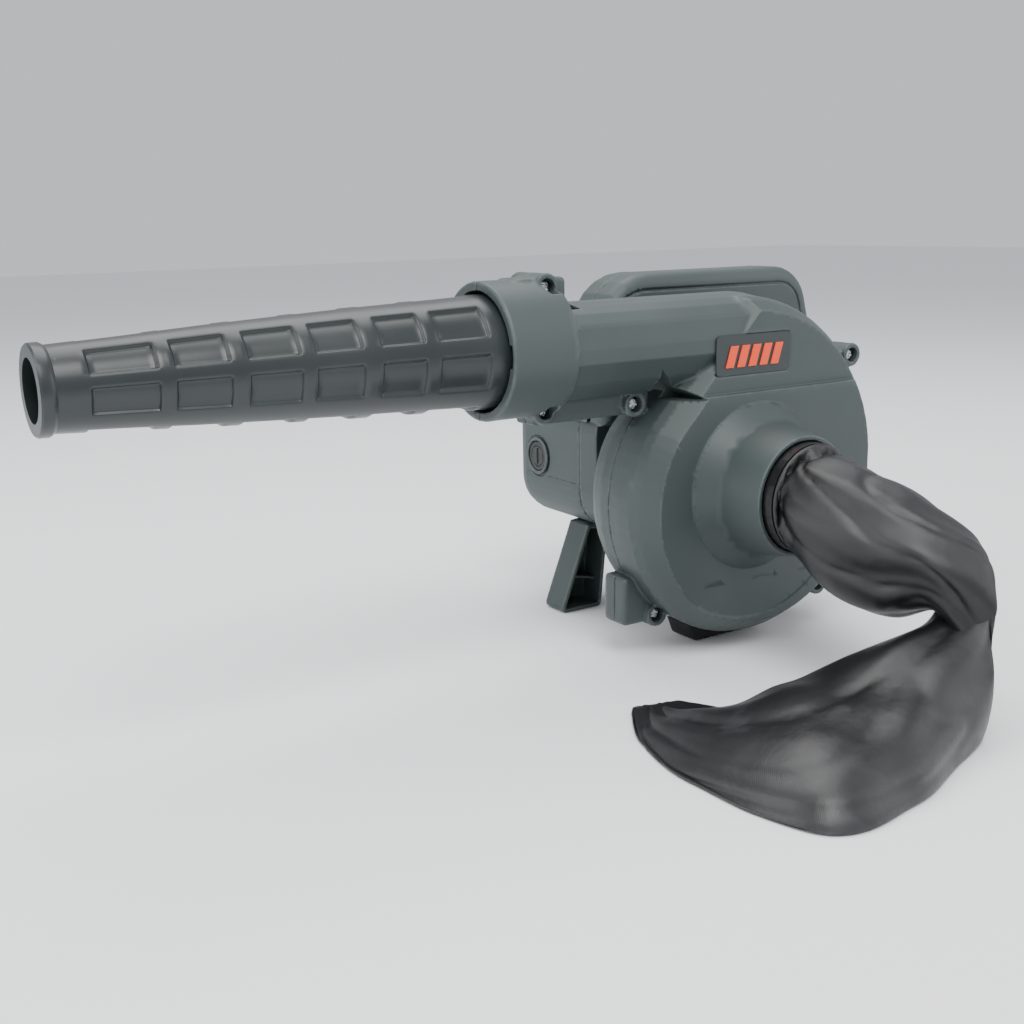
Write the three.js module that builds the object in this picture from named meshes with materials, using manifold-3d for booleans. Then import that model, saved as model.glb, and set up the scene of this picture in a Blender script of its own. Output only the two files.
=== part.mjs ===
// Hand-held electric blower with a dust bag. Millimetres, +Z up, nozzle along -X, air inlet along -Y.
// The origin is on the floor, under the fan axis, in the plane where the two volute shells part.
import * as THREE from 'three';
import { mergeVertices } from 'three/addons/utils/BufferGeometryUtils.js';
import Module from 'manifold-3d';

const wasm = await Module();
wasm.setup();

// ---------- driving dimensions ----------
const fitGap = 0.3;            // gap between pieces that touch
const runningGap = 0.1;        // radial clearance of the shaft in its bearings
const wall = 2.5;              // casing wall

const axisHeight = 94;         // fan axis above the floor
const scrollStart = 72;        // volute radius at the tongue
const scrollEnd = 101.5;       // volute radius where it runs into the outlet duct
const tongueAngle = 150;       // degrees, where the volute starts
const faceDepth = 35;          // fan casing, front face to parting plane
const bandDepth = 32;          // duct face to parting plane
const bandLow = 51.5;          // lower edge of the duct face above the fan axis
const rearDepth = 32;          // fan casing, rear face to parting plane
const ductLow = 54;            // underside of the duct above the fan axis

const nozzleLift = 80.8;       // nozzle axis above the fan axis
const collarFront = -153.7;    // outlet collar, front face
const collarBack = -116;       // outlet collar, back face
const collarRadius = 34.2;
const collarBore = 29.5;
const nozzleLength = 237;      // whole nozzle, tip to plug end
const plugDepth = 27.9;        // how far the nozzle reaches into the collar
const nozzleRoot = collarFront + plugDepth;
const nozzleTipBore = 13.5;
const nozzleTipRadius = 18;
const nozzleRootRadius = 28;
const nozzleWall = 2.4;
const nozzleTip = nozzleRoot - nozzleLength;
const beadRadius = 19.4;

const inletReach = 70;         // inlet rim to parting plane
const inletRadius = 32;
const inletBore = 29.4;
const coneRadius = 45.6;       // foot of the inlet cone
const neckRadius = 36.5;       // neck where it leaves the cone
const neckStart = 45;

const shaftRadius = 4;
const shaftEndRadius = 3;
const impellerRadius = 60;
const impellerFront = -22;
const impellerBack = 16.5;
const bladeCount = 9;
const armatureRadius = 17.5;
const coreStart = 60;
const coreLength = 36;
const commutatorRadius = 11;
const brushPlace = 112;        // brushes along the shaft
const housingFront = 51;
const housingBack = 141;
const housingHalfWidth = 45;
const housingHalfHeight = 40;

const handleNear = 42;
const handleFar = 78;
const handleTop = 112;
const handleFront = -49;
const handleRear = 128;
const handleTopRear = 108;     // the rear edge leans forward above the dial
const gripHeight = 28;

const screwRadius = 1.9;
const screwHeadRadius = 3.6;
const bossRadius = 6.8;
const earReach = 24;
// shell screws: [x, height above the fan axis]
const shellScrews = [[-120, 111], [-122, 50], [-65, 48], [95, 62], [-50, -70], [74, -74]];

const bayonetTurn = 40;        // degrees from locked to free
const lugWidth = 16;           // degrees

// ---------- colours ----------
const casing = { color: 0x4b5554, roughness: 0.55, metalness: 0 };
const nozzlePlastic = { color: 0x3c4444, roughness: 0.4, metalness: 0 };
const blackPlastic = { color: 0x1c1d1e, roughness: 0.5, metalness: 0 };
const rubber = { color: 0x141414, roughness: 0.85, metalness: 0 };
const fabric = { color: 0x191b1e, roughness: 0.6, metalness: 0 };
const steel = { color: 0xb4b6b8, roughness: 0.3, metalness: 1 };
const copper = { color: 0xb06a35, roughness: 0.35, metalness: 1 };
const brass = { color: 0xc6a052, roughness: 0.35, metalness: 1 };
const laminations = { color: 0x55585c, roughness: 0.5, metalness: 0.9 };
const carbon = { color: 0x232323, roughness: 0.7, metalness: 0.1 };
const impellerPlastic = { color: 0x23282c, roughness: 0.45, metalness: 0 };
const accent = { color: 0xe8581c, roughness: 0.45, metalness: 0 };

// ---------- helpers ----------
const group = new THREE.Group();
const radians = THREE.MathUtils.degToRad;

function signedVolume(positions, index) {
  const [a, b, c] = [new THREE.Vector3(), new THREE.Vector3(), new THREE.Vector3()];
  let volume = 0;
  for (let i = 0; i < index.length; i += 3) {
    a.fromArray(positions, index[i] * 3);
    b.fromArray(positions, index[i + 1] * 3);
    c.fromArray(positions, index[i + 2] * 3);
    volume += a.dot(b.cross(c)) / 6;
  }
  return volume;
}

// A closed three.js geometry as a solid with its faces pointing out.
function solid(geometry) {
  geometry.deleteAttribute('normal');
  geometry.deleteAttribute('uv');
  const merged = mergeVertices(geometry, 1e-4);
  const vertProperties = new Float32Array(merged.attributes.position.array);
  const triVerts = new Uint32Array(merged.index.array);
  if (signedVolume(vertProperties, triVerts) < 0) triVerts.reverse();
  return new wasm.Manifold(new wasm.Mesh({ numProp: 3, vertProperties, triVerts }));
}

function addPiece(name, shape, look) {
  const mesh = shape.getMesh();
  const geometry = new THREE.BufferGeometry();
  geometry.setAttribute('position', new THREE.BufferAttribute(mesh.vertProperties, 3));
  geometry.setIndex(new THREE.BufferAttribute(mesh.triVerts, 1));
  geometry.computeVertexNormals();
  const piece = new THREE.Mesh(geometry, new THREE.MeshStandardMaterial(look));
  piece.name = name;
  group.add(piece);
}

function block(x0, x1, y0, y1, z0, z1) {
  const box = new THREE.BoxGeometry(x1 - x0, y1 - y0, z1 - z0);
  box.translate((x0 + x1) / 2, (y0 + y1) / 2, (z0 + z1) / 2);
  return solid(box);
}

// A cylinder or cone along 'x', 'y' or 'z', from one coordinate to another on that axis.
function rod(axis, from, to, centre, radius, sides = 16, radiusTo = radius) {
  const cylinder = new THREE.CylinderGeometry(radiusTo, radius, Math.abs(to - from), sides);
  cylinder.translate(0, (to - from) / 2, 0);
  if (to < from) cylinder.rotateX(Math.PI);
  if (to < from) cylinder.translate(0, to - from, 0);
  if (axis === 'x') cylinder.rotateZ(-Math.PI / 2);
  if (axis === 'z') cylinder.rotateX(Math.PI / 2);
  const place = { x: [from, centre[0], centre[1]], y: [centre[0], from, centre[1]],
    z: [centre[0], centre[1], from] };
  cylinder.translate(...place[axis]);
  return solid(cylinder);
}

// A turned piece about the fan axis. The profile holds [radius, y] points and closes on itself.
function turned(profile, sides = 36) {
  const points = [...profile, profile[0]].map(([radius, y]) => new THREE.Vector2(radius, y));
  const lathe = new THREE.LatheGeometry(points, sides);
  lathe.translate(0, 0, axisHeight);
  return solid(lathe);
}

// A turned piece about the nozzle axis. The profile holds [radius, x] points and closes on itself.
function turnedOnNozzle(profile, sides = 32) {
  const points = [...profile, profile[0]].map(([radius, x]) => new THREE.Vector2(radius, x));
  const lathe = new THREE.LatheGeometry(points, sides);
  lathe.rotateZ(-Math.PI / 2);
  lathe.translate(0, 0, axisHeight + nozzleLift);
  return solid(lathe);
}

// Rings of equal point count joined into a closed skin, with flat ends.
function loft(rings) {
  const count = rings[0].length;
  const positions = rings.flat().flatMap((point) => [point.x, point.y, point.z]);
  const index = [];
  for (let r = 0; r + 1 < rings.length; r += 1) {
    for (let i = 0; i < count; i += 1) {
      const [a, b] = [r * count + i, r * count + (i + 1) % count];
      index.push(a, b, a + count, b, b + count, a + count);
    }
  }
  for (const [ring, flip] of [[0, true], [rings.length - 1, false]]) {
    const centre = new THREE.Vector3();
    rings[ring].forEach((point) => centre.addScaledVector(point, 1 / count));
    const centreIndex = positions.length / 3;
    positions.push(centre.x, centre.y, centre.z);
    for (let i = 0; i < count; i += 1) {
      const [a, b] = [ring * count + i, ring * count + (i + 1) % count];
      if (flip) index.push(b, a, centreIndex);
      else index.push(a, b, centreIndex);
    }
  }
  const geometry = new THREE.BufferGeometry();
  geometry.setAttribute('position', new THREE.Float32BufferAttribute(positions, 3));
  geometry.setIndex(index);
  return solid(geometry);
}

// An outline in x and height above the fan axis, with corners [x, z, rounding], pushed along y.
function roundedOutline(corners) {
  const shape = new THREE.Shape();
  corners.forEach(([x, z, rounding], i) => {
    const corner = new THREE.Vector2(x, z);
    const before = new THREE.Vector2(...corners.at(i - 1)).sub(corner).setLength(rounding).add(corner);
    const after = new THREE.Vector2(...corners[(i +
      1) % corners.length]).sub(corner).setLength(rounding).add(corner);
    if (i === 0) shape.moveTo(before.x, before.y);
    else shape.lineTo(before.x, before.y);
    if (rounding > 0) shape.quadraticCurveTo(x, z, after.x, after.y);
  });
  return shape;
}

function prism(shape, y0, y1, curveSegments = 6) {
  const geometry = new THREE.ExtrudeGeometry(shape, { depth: y1 - y0, bevelEnabled: false, curveSegments });
  geometry.rotateX(Math.PI / 2);
  geometry.translate(0, y1, axisHeight);
  return solid(geometry);
}

// A rounded rectangle in x and z about the fan axis, pushed along y.
function roundedBlock(halfX, halfZ, corner, y0, y1) {
  const signs = [[-1, -1], [1, -1], [1, 1], [-1, 1]];
  return prism(roundedOutline(signs.map(([sx, sz]) => [sx * halfX, sz * halfZ, corner])), y0, y1, 3);
}

function unite(shapes) {
  return shapes.reduce((sum, shape) => sum.add(shape));
}

// ---------- fan casing ----------
// Volute radius at an angle from +X towards +Z, growing from the tongue to the duct.
function scrollRadius(angle) {
  const done = (angle - tongueAngle) / (450 - tongueAngle);
  return scrollStart + (scrollEnd - scrollStart) * (1 - (1 - done) ** 1.4);
}

// Casing sections: [y, inset of the outline, inset of the duct's underside].
const frontSections = [[0, 1, 0], [-17, 0, 0], [-24, 2, 8], [-31, 9, 18]];
const rearSections = [[0, 1, 0], [12, 1.5, 0], [23, 5, 4], [rearDepth, 13, 12]];

function scrollRing(y, inset) {
  const ring = [];
  for (let angle = tongueAngle; angle <= 450; angle += 12) {
    const radius = scrollRadius(angle) - inset;
    const [x, z] = [radius * Math.cos(radians(angle)), radius * Math.sin(radians(angle))];
    ring.push(new THREE.Vector3(x, y, axisHeight + z));
  }
  return ring;
}

function ductRing(y, inset, underInset, back) {
  const [low, high] = [axisHeight + ductLow + underInset, axisHeight + scrollEnd - inset];
  const corners = [[collarBack - 4, low], [back, low], [back, high], [collarBack - 4, high]];
  return corners.map(([x, z]) => new THREE.Vector3(x, y, z));
}

// One side of the casing, outside or inside: thinner adds the wall to every inset and takes it off every y.
function casingSide(sections, thinner) {
  const towardsPlane = Math.sign(sections.at(-1)[0]);
  const levels = sections.map(([y, inset, under]) => [y ? y - towardsPlane * thinner : y,
    inset + thinner, under + thinner]);
  const duct = loft(levels.map(([y, inset, under]) => ductRing(y, inset, under, 10)));
  if (towardsPlane > 0) return loft(levels.map(([y, inset]) => scrollRing(y, inset))).add(duct);
  const face = -faceDepth + thinner;
  const faceLevels = [...levels, [face, levels.at(-1)[1] + 1, 0]];
  const scroll = loft(faceLevels.map(([y, inset]) => scrollRing(y, inset)));
  const bandTop = -bandDepth + thinner;
  const aboveBand = block(-150, 150, -faceDepth - 1, bandTop, axisHeight + bandLow - thinner,
    2 * axisHeight + 30);
  return scroll.subtract(aboveBand).add(duct);
}

// Screw boss with an ear that reaches back into the casing.
function bossWithEar(x, z, y0, y1) {
  const boss = rod('y', y0, y1, [x, axisHeight + z], bossRadius, 14);
  const towards = z > 40 && x < 0 ? new THREE.Vector2(0, nozzleLift - z) : new THREE.Vector2(-x, -z);
  towards.setLength(earReach);
  const side = new THREE.Vector2(-towards.y, towards.x).setLength(bossRadius);
  const corners = [[1, 0], [1.25, 1], [-1.25, 1], [-1, 0]];
  const outline = corners.map(([s, t]) => [x + side.x * s + towards.x * t,
    z + side.y * s + towards.y * t, 0]);
  return boss.add(prism(roundedOutline(outline), y0, y1, 1));
}

function bayonetGroove(makeTurned, depthRadius, mouth, end, startAngle) {
  const along = Math.sign(end - mouth);
  const entry = makeTurned(depthRadius, mouth - along, end, startAngle - bayonetTurn, lugWidth + 4);
  const track = makeTurned(depthRadius, end - along * 5.4, end, startAngle - bayonetTurn / 2,
    bayonetTurn + lugWidth + 4);
  return entry.add(track);
}

// A ring sector about the nozzle axis (x) or the inlet axis (y), centred on an angle from +Z.
function sector(axis, inner, outer, from, to, middle, width, sides = 6) {
  const shape = new THREE.Shape();
  const [start, end] = [radians(middle - width / 2), radians(middle + width / 2)];
  shape.absarc(0, 0, outer, start, end, false);
  shape.absarc(0, 0, inner, end, start, true);
  const geometry = new THREE.ExtrudeGeometry(shape,
    { depth: Math.abs(to - from), bevelEnabled: false, curveSegments: sides });
  geometry.translate(0, 0, Math.min(from, to));
  if (axis === 'x') geometry.rotateZ(Math.PI / 2).rotateY(Math.PI / 2);
  else geometry.rotateX(-Math.PI / 2);
  geometry.translate(0, 0, axis === 'x' ? axisHeight + nozzleLift : axisHeight);
  return solid(geometry);
}

const nozzleLugs = { inner: collarBore - 1.6, outer: collarBore + 1.6, end: collarFront + 17,
  angles: [220, 40] };
const bagLugs = { inner: inletBore - 0.8, outer: inletBore + 1.5, end: -inletReach + 14, angles: [0, 180] };
const lugThickness = 4;

function casingOutside(sections) {
  const towards = Math.sign(sections.at(-1)[0]);
  const collar = rod('x', collarFront, collarBack, [0, axisHeight + nozzleLift], collarRadius, 36);
  const web = block(-128, -52, towards < 0 ? -8 : 0, towards < 0 ? 0 : 8, axisHeight + 43, axisHeight + 58);
  const bosses = shellScrews.map(([x, z]) => bossWithEar(x, z, towards < 0 ? -12 : 0, towards < 0 ? 0 : 14));
  const half = block(-200, 200, towards < 0 ? -120 : fitGap / 2, towards < 0 ? -fitGap / 2 : 120, -20, 260);
  return unite([casingSide(sections, 0), collar, web, ...bosses]).intersect(half);
}

function airWay(sections) {
  const bore = rod('x', collarFront - 1, nozzleRoot + 1, [0, axisHeight + nozzleLift], collarBore, 36);
  const funnel = rod('x', nozzleRoot + 0.5, collarBack + 8, [0, axisHeight + nozzleLift], 25, 32, 20);
  const grooves = nozzleLugs.angles.map((angle) => bayonetGroove(
    (radius, from, to, middle, width) => sector('x', collarBore - 1, radius, from, to, middle, width),
    nozzleLugs.outer + fitGap + 0.1, collarFront, nozzleLugs.end + fitGap, angle));
  return unite([casingSide(sections, wall), bore, funnel, ...grooves]);
}

// The badge sits in a shallow recess of the duct face.
const badge = { left: -28, right: 24, low: 61, high: 82, recess: 1, thickness: 0.6 };
function badgeBlock(clearance, y0, y1) {
  const [left, right] = [badge.left - clearance, badge.right + clearance];
  const [low, high] = [badge.low - clearance, badge.high + clearance];
  return prism(roundedOutline([[left, low, 3], [right, low, 3], [right, high, 3], [left, high, 3]]), y0,
    y1, 3);
}

function frontShell() {
  const neck = turned([
    [20, -faceDepth + 1], [coneRadius, -faceDepth + 1], [coneRadius, -faceDepth - 0.5],
      [neckRadius, -neckStart],
    [inletRadius, -inletReach], [20, -inletReach],
  ], 36);
  const inlet = rod('y', -inletReach - 1, -20, [0, axisHeight], inletBore, 36);
  const grooves = bagLugs.angles.map((angle) => bayonetGroove(
    (radius, from, to, middle, width) => sector('y', inletBore - 1, radius, from, to, middle, width),
    bagLugs.outer + fitGap, -inletReach, bagLugs.end + fitGap, angle));
  let shell = casingOutside(frontSections).subtract(airWay(frontSections)).add(neck);
  shell = shell.subtract(inlet).subtract(unite(grooves));
  shell = shell.subtract(badgeBlock(fitGap, -bandDepth - 1, -bandDepth + badge.recess));
  for (const [x, z] of shellScrews) {
    shell = shell.subtract(rod('y', -14, 1, [x, axisHeight + z], screwRadius + fitGap, 10));
    shell = shell.subtract(rod('y', -14, -6.5, [x, axisHeight + z], screwHeadRadius + 0.5, 14));
  }
  return shell;
}

const mountRing = { radius: 42, back: housingFront - fitGap };
const frontBearing = { start: 35.3, width: 7, radius: 11 };
const housingScrews = [[27, 27], [-27, 27], [27, -27], [-27, -27]];

function rearShell() {
  const { radius, back } = mountRing;
  const ring = turned([[radius, rearDepth - 1], [radius, back], [radius - wall, back],
    [radius - wall, rearDepth - 1]]);
  const { start, width, radius: seat } = frontBearing;
  const boss = rod('y', rearDepth - 2, start + width + 1, [0, axisHeight], seat + 4, 24);
  let shell = casingOutside(rearSections).subtract(airWay(rearSections)).add(ring).add(boss);
  shell = shell.subtract(rod('y', start - fitGap, back, [0, axisHeight], seat + fitGap, 24));
  shell = shell.subtract(rod('y', 20, start + 1, [0, axisHeight], 8.5, 16));
  for (const [x, z] of housingScrews) {
    const post = rod('y', rearDepth - 2, back, [x, axisHeight + z], 4.6, 10);
    shell = shell.add(post).subtract(rod('y', 37, back + 1, [x, axisHeight + z], screwRadius + fitGap, 10));
  }
  for (const [x, z] of shellScrews) {
    shell = shell.subtract(rod('y', -1, 11.5, [x, axisHeight + z], screwRadius + fitGap, 10));
  }
  return shell;
}

function screw(x, z, headStart, length) {
  const head = rod('y', headStart, headStart + 2.6, [x, axisHeight + z], screwHeadRadius, 12);
  const shank = rod('y', headStart + 2, headStart + length, [x, axisHeight + z], screwRadius, 8);
  const cross = [block(x - 2.2, x + 2.2, headStart - 1, headStart + 1.4, axisHeight + z - 0.5,
    axisHeight + z + 0.5),
    block(x - 0.5, x + 0.5, headStart - 1, headStart + 1.4, axisHeight + z - 2.2, axisHeight + z + 2.2)];
  return head.add(shank).subtract(unite(cross));
}

addPiece('front_volute_shell', frontShell(), casing);
addPiece('rear_volute_shell', rearShell(), casing);
shellScrews.forEach(([x, z], i) => addPiece(`shell_screw_${i + 1}`,
  screw(x, z, -6.5 - 2.6 - fitGap, 19), steel));

addPiece('badge_plate', badgeBlock(0, -bandDepth + badge.recess - fitGap - badge.thickness,
  -bandDepth + badge.recess - fitGap), accent);

// Rubber foot under the volute, flat below and following the casing above.
const footStart = -18;
const footEnd = 30;
function rubberFoot() {
  const corners = [[footStart, -axisHeight, 4], [footEnd, -axisHeight, 4],
    [footEnd + 6, -axisHeight + 20, 2],
    [footStart - 8, -axisHeight + 20, 2]];
  const pad = prism(roundedOutline(corners), -6, 14, 4);
  const [clearance, reach] = [fitGap, 16];
  const casingHull = loft([scrollRing(-reach, -clearance), scrollRing(reach, -clearance)]);
  return pad.subtract(casingHull);
}
addPiece('rubber_foot', rubberFoot(), rubber);

// ---------- nozzle ----------
function nozzle() {
  const tip = nozzleTip;
  const root = nozzleRoot;
  const shoulder = collarFront + 1;
  const outside = [[nozzleTipBore, tip], [beadRadius - 1, tip], [beadRadius, tip + 1.5],
    [beadRadius, tip + 4],
    [nozzleTipRadius, tip + 6], [nozzleRootRadius, shoulder], [nozzleRootRadius, root]];
  const inside = [[nozzleRootRadius - nozzleWall, root], [nozzleRootRadius - nozzleWall, shoulder],
    [nozzleTipRadius - nozzleWall, tip + 12]];
  const tube = turnedOnNozzle([...outside, ...inside]);
  const lugs = nozzleLugs.angles.map((angle) => sector('x', nozzleRootRadius - 1, nozzleLugs.outer,
    nozzleLugs.end - lugThickness, nozzleLugs.end, angle, lugWidth));
  return unite([tube, ...lugs]);
}
addPiece('nozzle', nozzle(), nozzlePlastic);

// ---------- dust bag ----------
function bagRing() {
  const [front, back] = [-inletReach - 6, -inletReach + 18];
  const radius = inletBore - 0.35;
  const ring = turned([[radius, front], [radius, back], [radius - 2.2, back], [radius - 2.2, front]]);
  const lugs = bagLugs.angles.map((angle) => sector('y', radius - 1, bagLugs.outer,
    bagLugs.end - lugThickness, bagLugs.end, angle, lugWidth));
  return unite([ring, ...lugs]);
}

// A bag section: centre, half-width vector and half-thickness vector, all about the fan axis height.
function bagSection([centre, across, up]) {
  const ring = [];
  for (let step = 0; step < 20; step += 1) {
    const turn = step * Math.PI / 10;
    const point = new THREE.Vector3(...centre);
    point.addScaledVector(new THREE.Vector3(...across), Math.cos(turn));
    point.addScaledVector(new THREE.Vector3(...up), Math.sin(turn));
    point.z = Math.max(point.z + axisHeight, 0);
    ring.push(point);
  }
  return ring;
}

const bagMouth = -inletReach - 6 - fitGap;
const mouthDepth = 22;
const bagHangs = [
  [[0, bagMouth, 0], [28, 0, 0], [0, 0, 28]],
  [[1, bagMouth - 12, -2], [31, 0, 0], [0, 0, 32]],
  [[4, bagMouth - 30, -9], [32, 3, 0], [0, 4, 37]],
  [[9, bagMouth - 50, -14], [29, 8, 0], [0, 8, 36]],
  [[16, bagMouth - 70, -15], [24, 14, 0], [0, 8, 27]],
  [[23, bagMouth - 86, -39], [16, 20, 0], [6, 4, 36]],
];
const bagLies = [
  [[16, -163, -58], [8, 24, 0], [4, 0, 38]],
  [[2, -166, -80], [4, 31, 0], [4, 0, 42]],
  [[-28, -160, -86], [6, 45, 0], [2, 0, 38]],
  [[-60, -160, -88], [20, 57, 0], [0, 0, 29]],
  [[-90, -156, -89], [40, 56, 0], [0, 0, 27]],
  [[-106, -124, -91], [37, 25, 0], [0, 0, 18]],
  [[-106, -92, -92], [28, 8, 0], [0, 0, 10]],
  [[-97, -66, -92], [13, -4, 0], [0, 0, 7]],
];

function dustBag() {
  const hanging = loft(bagHangs.map(bagSection));
  const lying = loft(bagLies.map(bagSection));
  const mouth = rod('y', bagMouth + 1, bagMouth - mouthDepth, [0, axisHeight - 1], 24, 24, 21);
  return hanging.add(lying).subtract(mouth);
}
addPiece('bag_ring', bagRing(), blackPlastic);
addPiece('dust_bag', dustBag(), fabric);

// ---------- rotor ----------
const hubFront = -6;
const spacerEnd = frontBearing.start - fitGap;
const rearBearing = { start: 124.5, width: 6, radius: 9.5, bush: 11.5 };

function hollowRod(from, to, radius, bore, sides = 24) {
  return rod('y', from, to, [0, axisHeight], radius,
    sides).subtract(rod('y', from - 1, to + 1, [0, axisHeight], bore, sides));
}

function bladeShape() {
  const shape = new THREE.Shape();
  const lean = 34;
  const [inner, outer, thickness] = [25, impellerRadius - 0.5, 1.8];
  const rows = [0, 1 / 3, 2 / 3, 1].map((t) => {
    const radius = inner + (outer - inner) * t;
    const turn = radians(-lean * t * (1.6 - 0.6 * t));
    return new THREE.Vector2(radius * Math.cos(turn), radius * Math.sin(turn));
  });
  shape.moveTo(rows[0].x, rows[0].y);
  rows.slice(1).forEach((point) => shape.lineTo(point.x, point.y));
  rows.reverse().forEach((point) => shape.lineTo(point.x - 0.4, point.y + thickness));
  return shape;
}

function impeller() {
  const plate = hollowRod(impellerBack - 2.2, impellerBack, impellerRadius, shaftRadius + fitGap, 36);
  const hub = hollowRod(hubFront, impellerBack, 11, shaftRadius + fitGap, 28);
  const shroud = hollowRod(impellerFront, impellerFront + 2, impellerRadius, 33, 36);
  const blade = prism(bladeShape(), impellerFront + 1, impellerBack - 1, 1);
  const pieces = [plate, hub, shroud];
  for (let i = 0; i < bladeCount; i += 1) {
    const turn = i * 360 / bladeCount;
    pieces.push(blade.translate([0, 0, -axisHeight]).rotate([0, turn, 0]).translate([0, 0, axisHeight]));
  }
  return unite(pieces);
}

function armatureShaft() {
  const body = rod('y', -17, rearBearing.start - fitGap, [0, axisHeight], shaftRadius, 24);
  const end = rod('y', rearBearing.start - 1, rearBearing.start + rearBearing.width + 0.3,
    [0, axisHeight], shaftEndRadius, 20);
  return body.add(end);
}

function armatureCore() {
  let core = hollowRod(coreStart, coreStart + coreLength, armatureRadius, shaftRadius + fitGap, 24);
  for (let i = 0; i < 12; i += 1) {
    const slot = block(-1.1, 1.1, coreStart - 1, coreStart + coreLength + 1, 11, 20).rotate([0, i * 30, 0]);
    core = core.subtract(slot.translate([0, 0, axisHeight]));
  }
  return core;
}

function windingEnd(from, to) {
  const middle = (from + to) / 2;
  return turned([[shaftRadius + 1.5, from + 1], [12, from], [16, middle], [12, to],
    [shaftRadius + 1.5, to - 1]], 28);
}

function coolingFan() {
  const [from, to] = [44.5, 50.6];
  const pieces = [hollowRod(from, to, 8, shaftRadius + fitGap, 24),
    hollowRod(from, from + 1.6, 30, shaftRadius + fitGap, 28)];
  for (let i = 0; i < 8; i += 1) {
    const vane = block(-0.8, 0.8, from + 1, to, 12, 29).rotate([0, i * 45, 0]);
    pieces.push(vane.translate([0, 0, axisHeight]));
  }
  return unite(pieces);
}

function hexNut() {
  const nut = rod('y', hubFront - 8.5, hubFront - 2.2, [0, axisHeight], 7.2, 6);
  return nut.subtract(rod('y', -20, 0, [0, axisHeight], shaftRadius + fitGap, 24));
}

addPiece('impeller', impeller(), impellerPlastic);
addPiece('impeller_washer', hollowRod(hubFront - 1.9, hubFront - fitGap, 8, shaftRadius + fitGap), steel);
addPiece('impeller_nut', hexNut(), steel);
addPiece('impeller_spacer', hollowRod(impellerBack + fitGap, spacerEnd, 7, shaftRadius + fitGap), steel);
addPiece('armature_shaft', armatureShaft(), steel);
addPiece('cooling_fan', coolingFan(), blackPlastic);
addPiece('armature_core', armatureCore(), laminations);
addPiece('armature_winding_front', windingEnd(51.5, coreStart - fitGap), copper);
addPiece('armature_winding_rear', windingEnd(coreStart + coreLength + fitGap, 103.5), copper);
addPiece('commutator', hollowRod(104, 120, commutatorRadius, shaftRadius + fitGap, 32), copper);

// ---------- motor ----------
const bearing = frontBearing;
addPiece('front_bearing', hollowRod(bearing.start, bearing.start + bearing.width, bearing.radius,
  shaftRadius + runningGap, 24), steel);
const { start: rearStart, width: rearWidth } = rearBearing;
addPiece('rear_bearing', hollowRod(rearStart, rearStart + rearWidth, rearBearing.radius,
  shaftEndRadius + runningGap, 24), steel);
addPiece('rear_bearing_bush', hollowRod(rearStart, rearStart + rearWidth, rearBearing.bush,
  rearBearing.radius + fitGap, 24), rubber);

const statorHalf = 35;
const pole = { neck: 11, window: 20, shoe: 21, yoke: 31 };

function statorCore() {
  const [from, to] = [coreStart, coreStart + coreLength];
  let core = roundedBlock(statorHalf, statorHalf, 14, from, to);
  core = core.subtract(rod('y', from - 1, to + 1, [0, axisHeight], armatureRadius + 0.6, 28));
  const shoe = rod('y', from - 2, to + 2, [0, axisHeight], pole.shoe, 28);
  for (const [sx, sz] of [[1, 1], [1, -1], [-1, 1], [-1, -1]]) {
    const x = [sx * pole.neck, sx * pole.window].sort((a, b) => a - b);
    const z = [sz * 12, sz * pole.yoke].sort((a, b) => a - b);
    const window = block(x[0], x[1], from - 1, to + 1, axisHeight + z[0], axisHeight + z[1]);
    core = core.subtract(window.subtract(shoe));
  }
  return core;
}

function fieldCoil(side) {
  const z = [side * 22, side * (pole.yoke - fitGap)].sort((a,
    b) => a - b).map((value) => value + axisHeight);
  const [from, to] = [coreStart, coreStart + coreLength];
  const outerX = pole.window - fitGap;
  const innerX = pole.neck + fitGap;
  const coil = block(-outerX, outerX, from - 6.5, to + 6.5, ...z);
  return coil.subtract(block(-innerX, innerX, from - fitGap, to + fitGap, z[0] - 1, z[1] + 1));
}

addPiece('stator_core', statorCore(), laminations);
addPiece('field_coil_upper', fieldCoil(1), copper);
addPiece('field_coil_lower', fieldCoil(-1), copper);

// Brushes slide in brass holders, pressed by springs under screwed caps on the two sides.
const brush = { halfWidth: 3, halfHeight: 4, length: 14 };
const holder = { start: 14, end: housingHalfWidth - 5, wall: 1 };
const cap = { radius: 9, thread: 6.5, depth: 5 };

function along(side, from, to, halfY, halfZ) {
  const x = [side * from, side * to].sort((a, b) => a - b);
  return block(x[0], x[1], brushPlace - halfY, brushPlace + halfY, axisHeight - halfZ, axisHeight + halfZ);
}

function brushHolder(side) {
  const { halfWidth, halfHeight } = brush;
  const inner = along(side, holder.start - 1, holder.end + 1, halfWidth + fitGap, halfHeight + fitGap);
  return along(side, holder.start, holder.end, halfWidth + fitGap + 1,
    halfHeight + fitGap + 1).subtract(inner);
}

class SpringLine extends THREE.Curve {
  constructor(from, to, radius, turns) {
    super();
    Object.assign(this, { from, to, radius, turns });
  }

  getPoint(t, target = new THREE.Vector3()) {
    const turn = t * this.turns * Math.PI * 2;
    const length = this.to - this.from;
    return target.set(this.radius * Math.cos(turn), this.radius * Math.sin(turn), this.from + length * t);
  }
}

function coilSpring(length, radius, turns, wire) {
  const section = new THREE.Shape();
  section.absarc(0, 0, wire, 0, Math.PI * 2);
  const line = new SpringLine(0, length, radius, turns);
  return new THREE.ExtrudeGeometry(section,
    { extrudePath: line, steps: turns * 8, curveSegments: 2, bevelEnabled: false });
}

function brushSpring(side) {
  const from = commutatorRadius + 0.4 + brush.length + 0.8;
  const to = holder.end - 1.2;
  const geometry = coilSpring(to - from, 2.1, 5, 0.4);
  geometry.rotateY(side * Math.PI / 2);
  geometry.translate(side * from, brushPlace, axisHeight);
  return solid(geometry);
}

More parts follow.
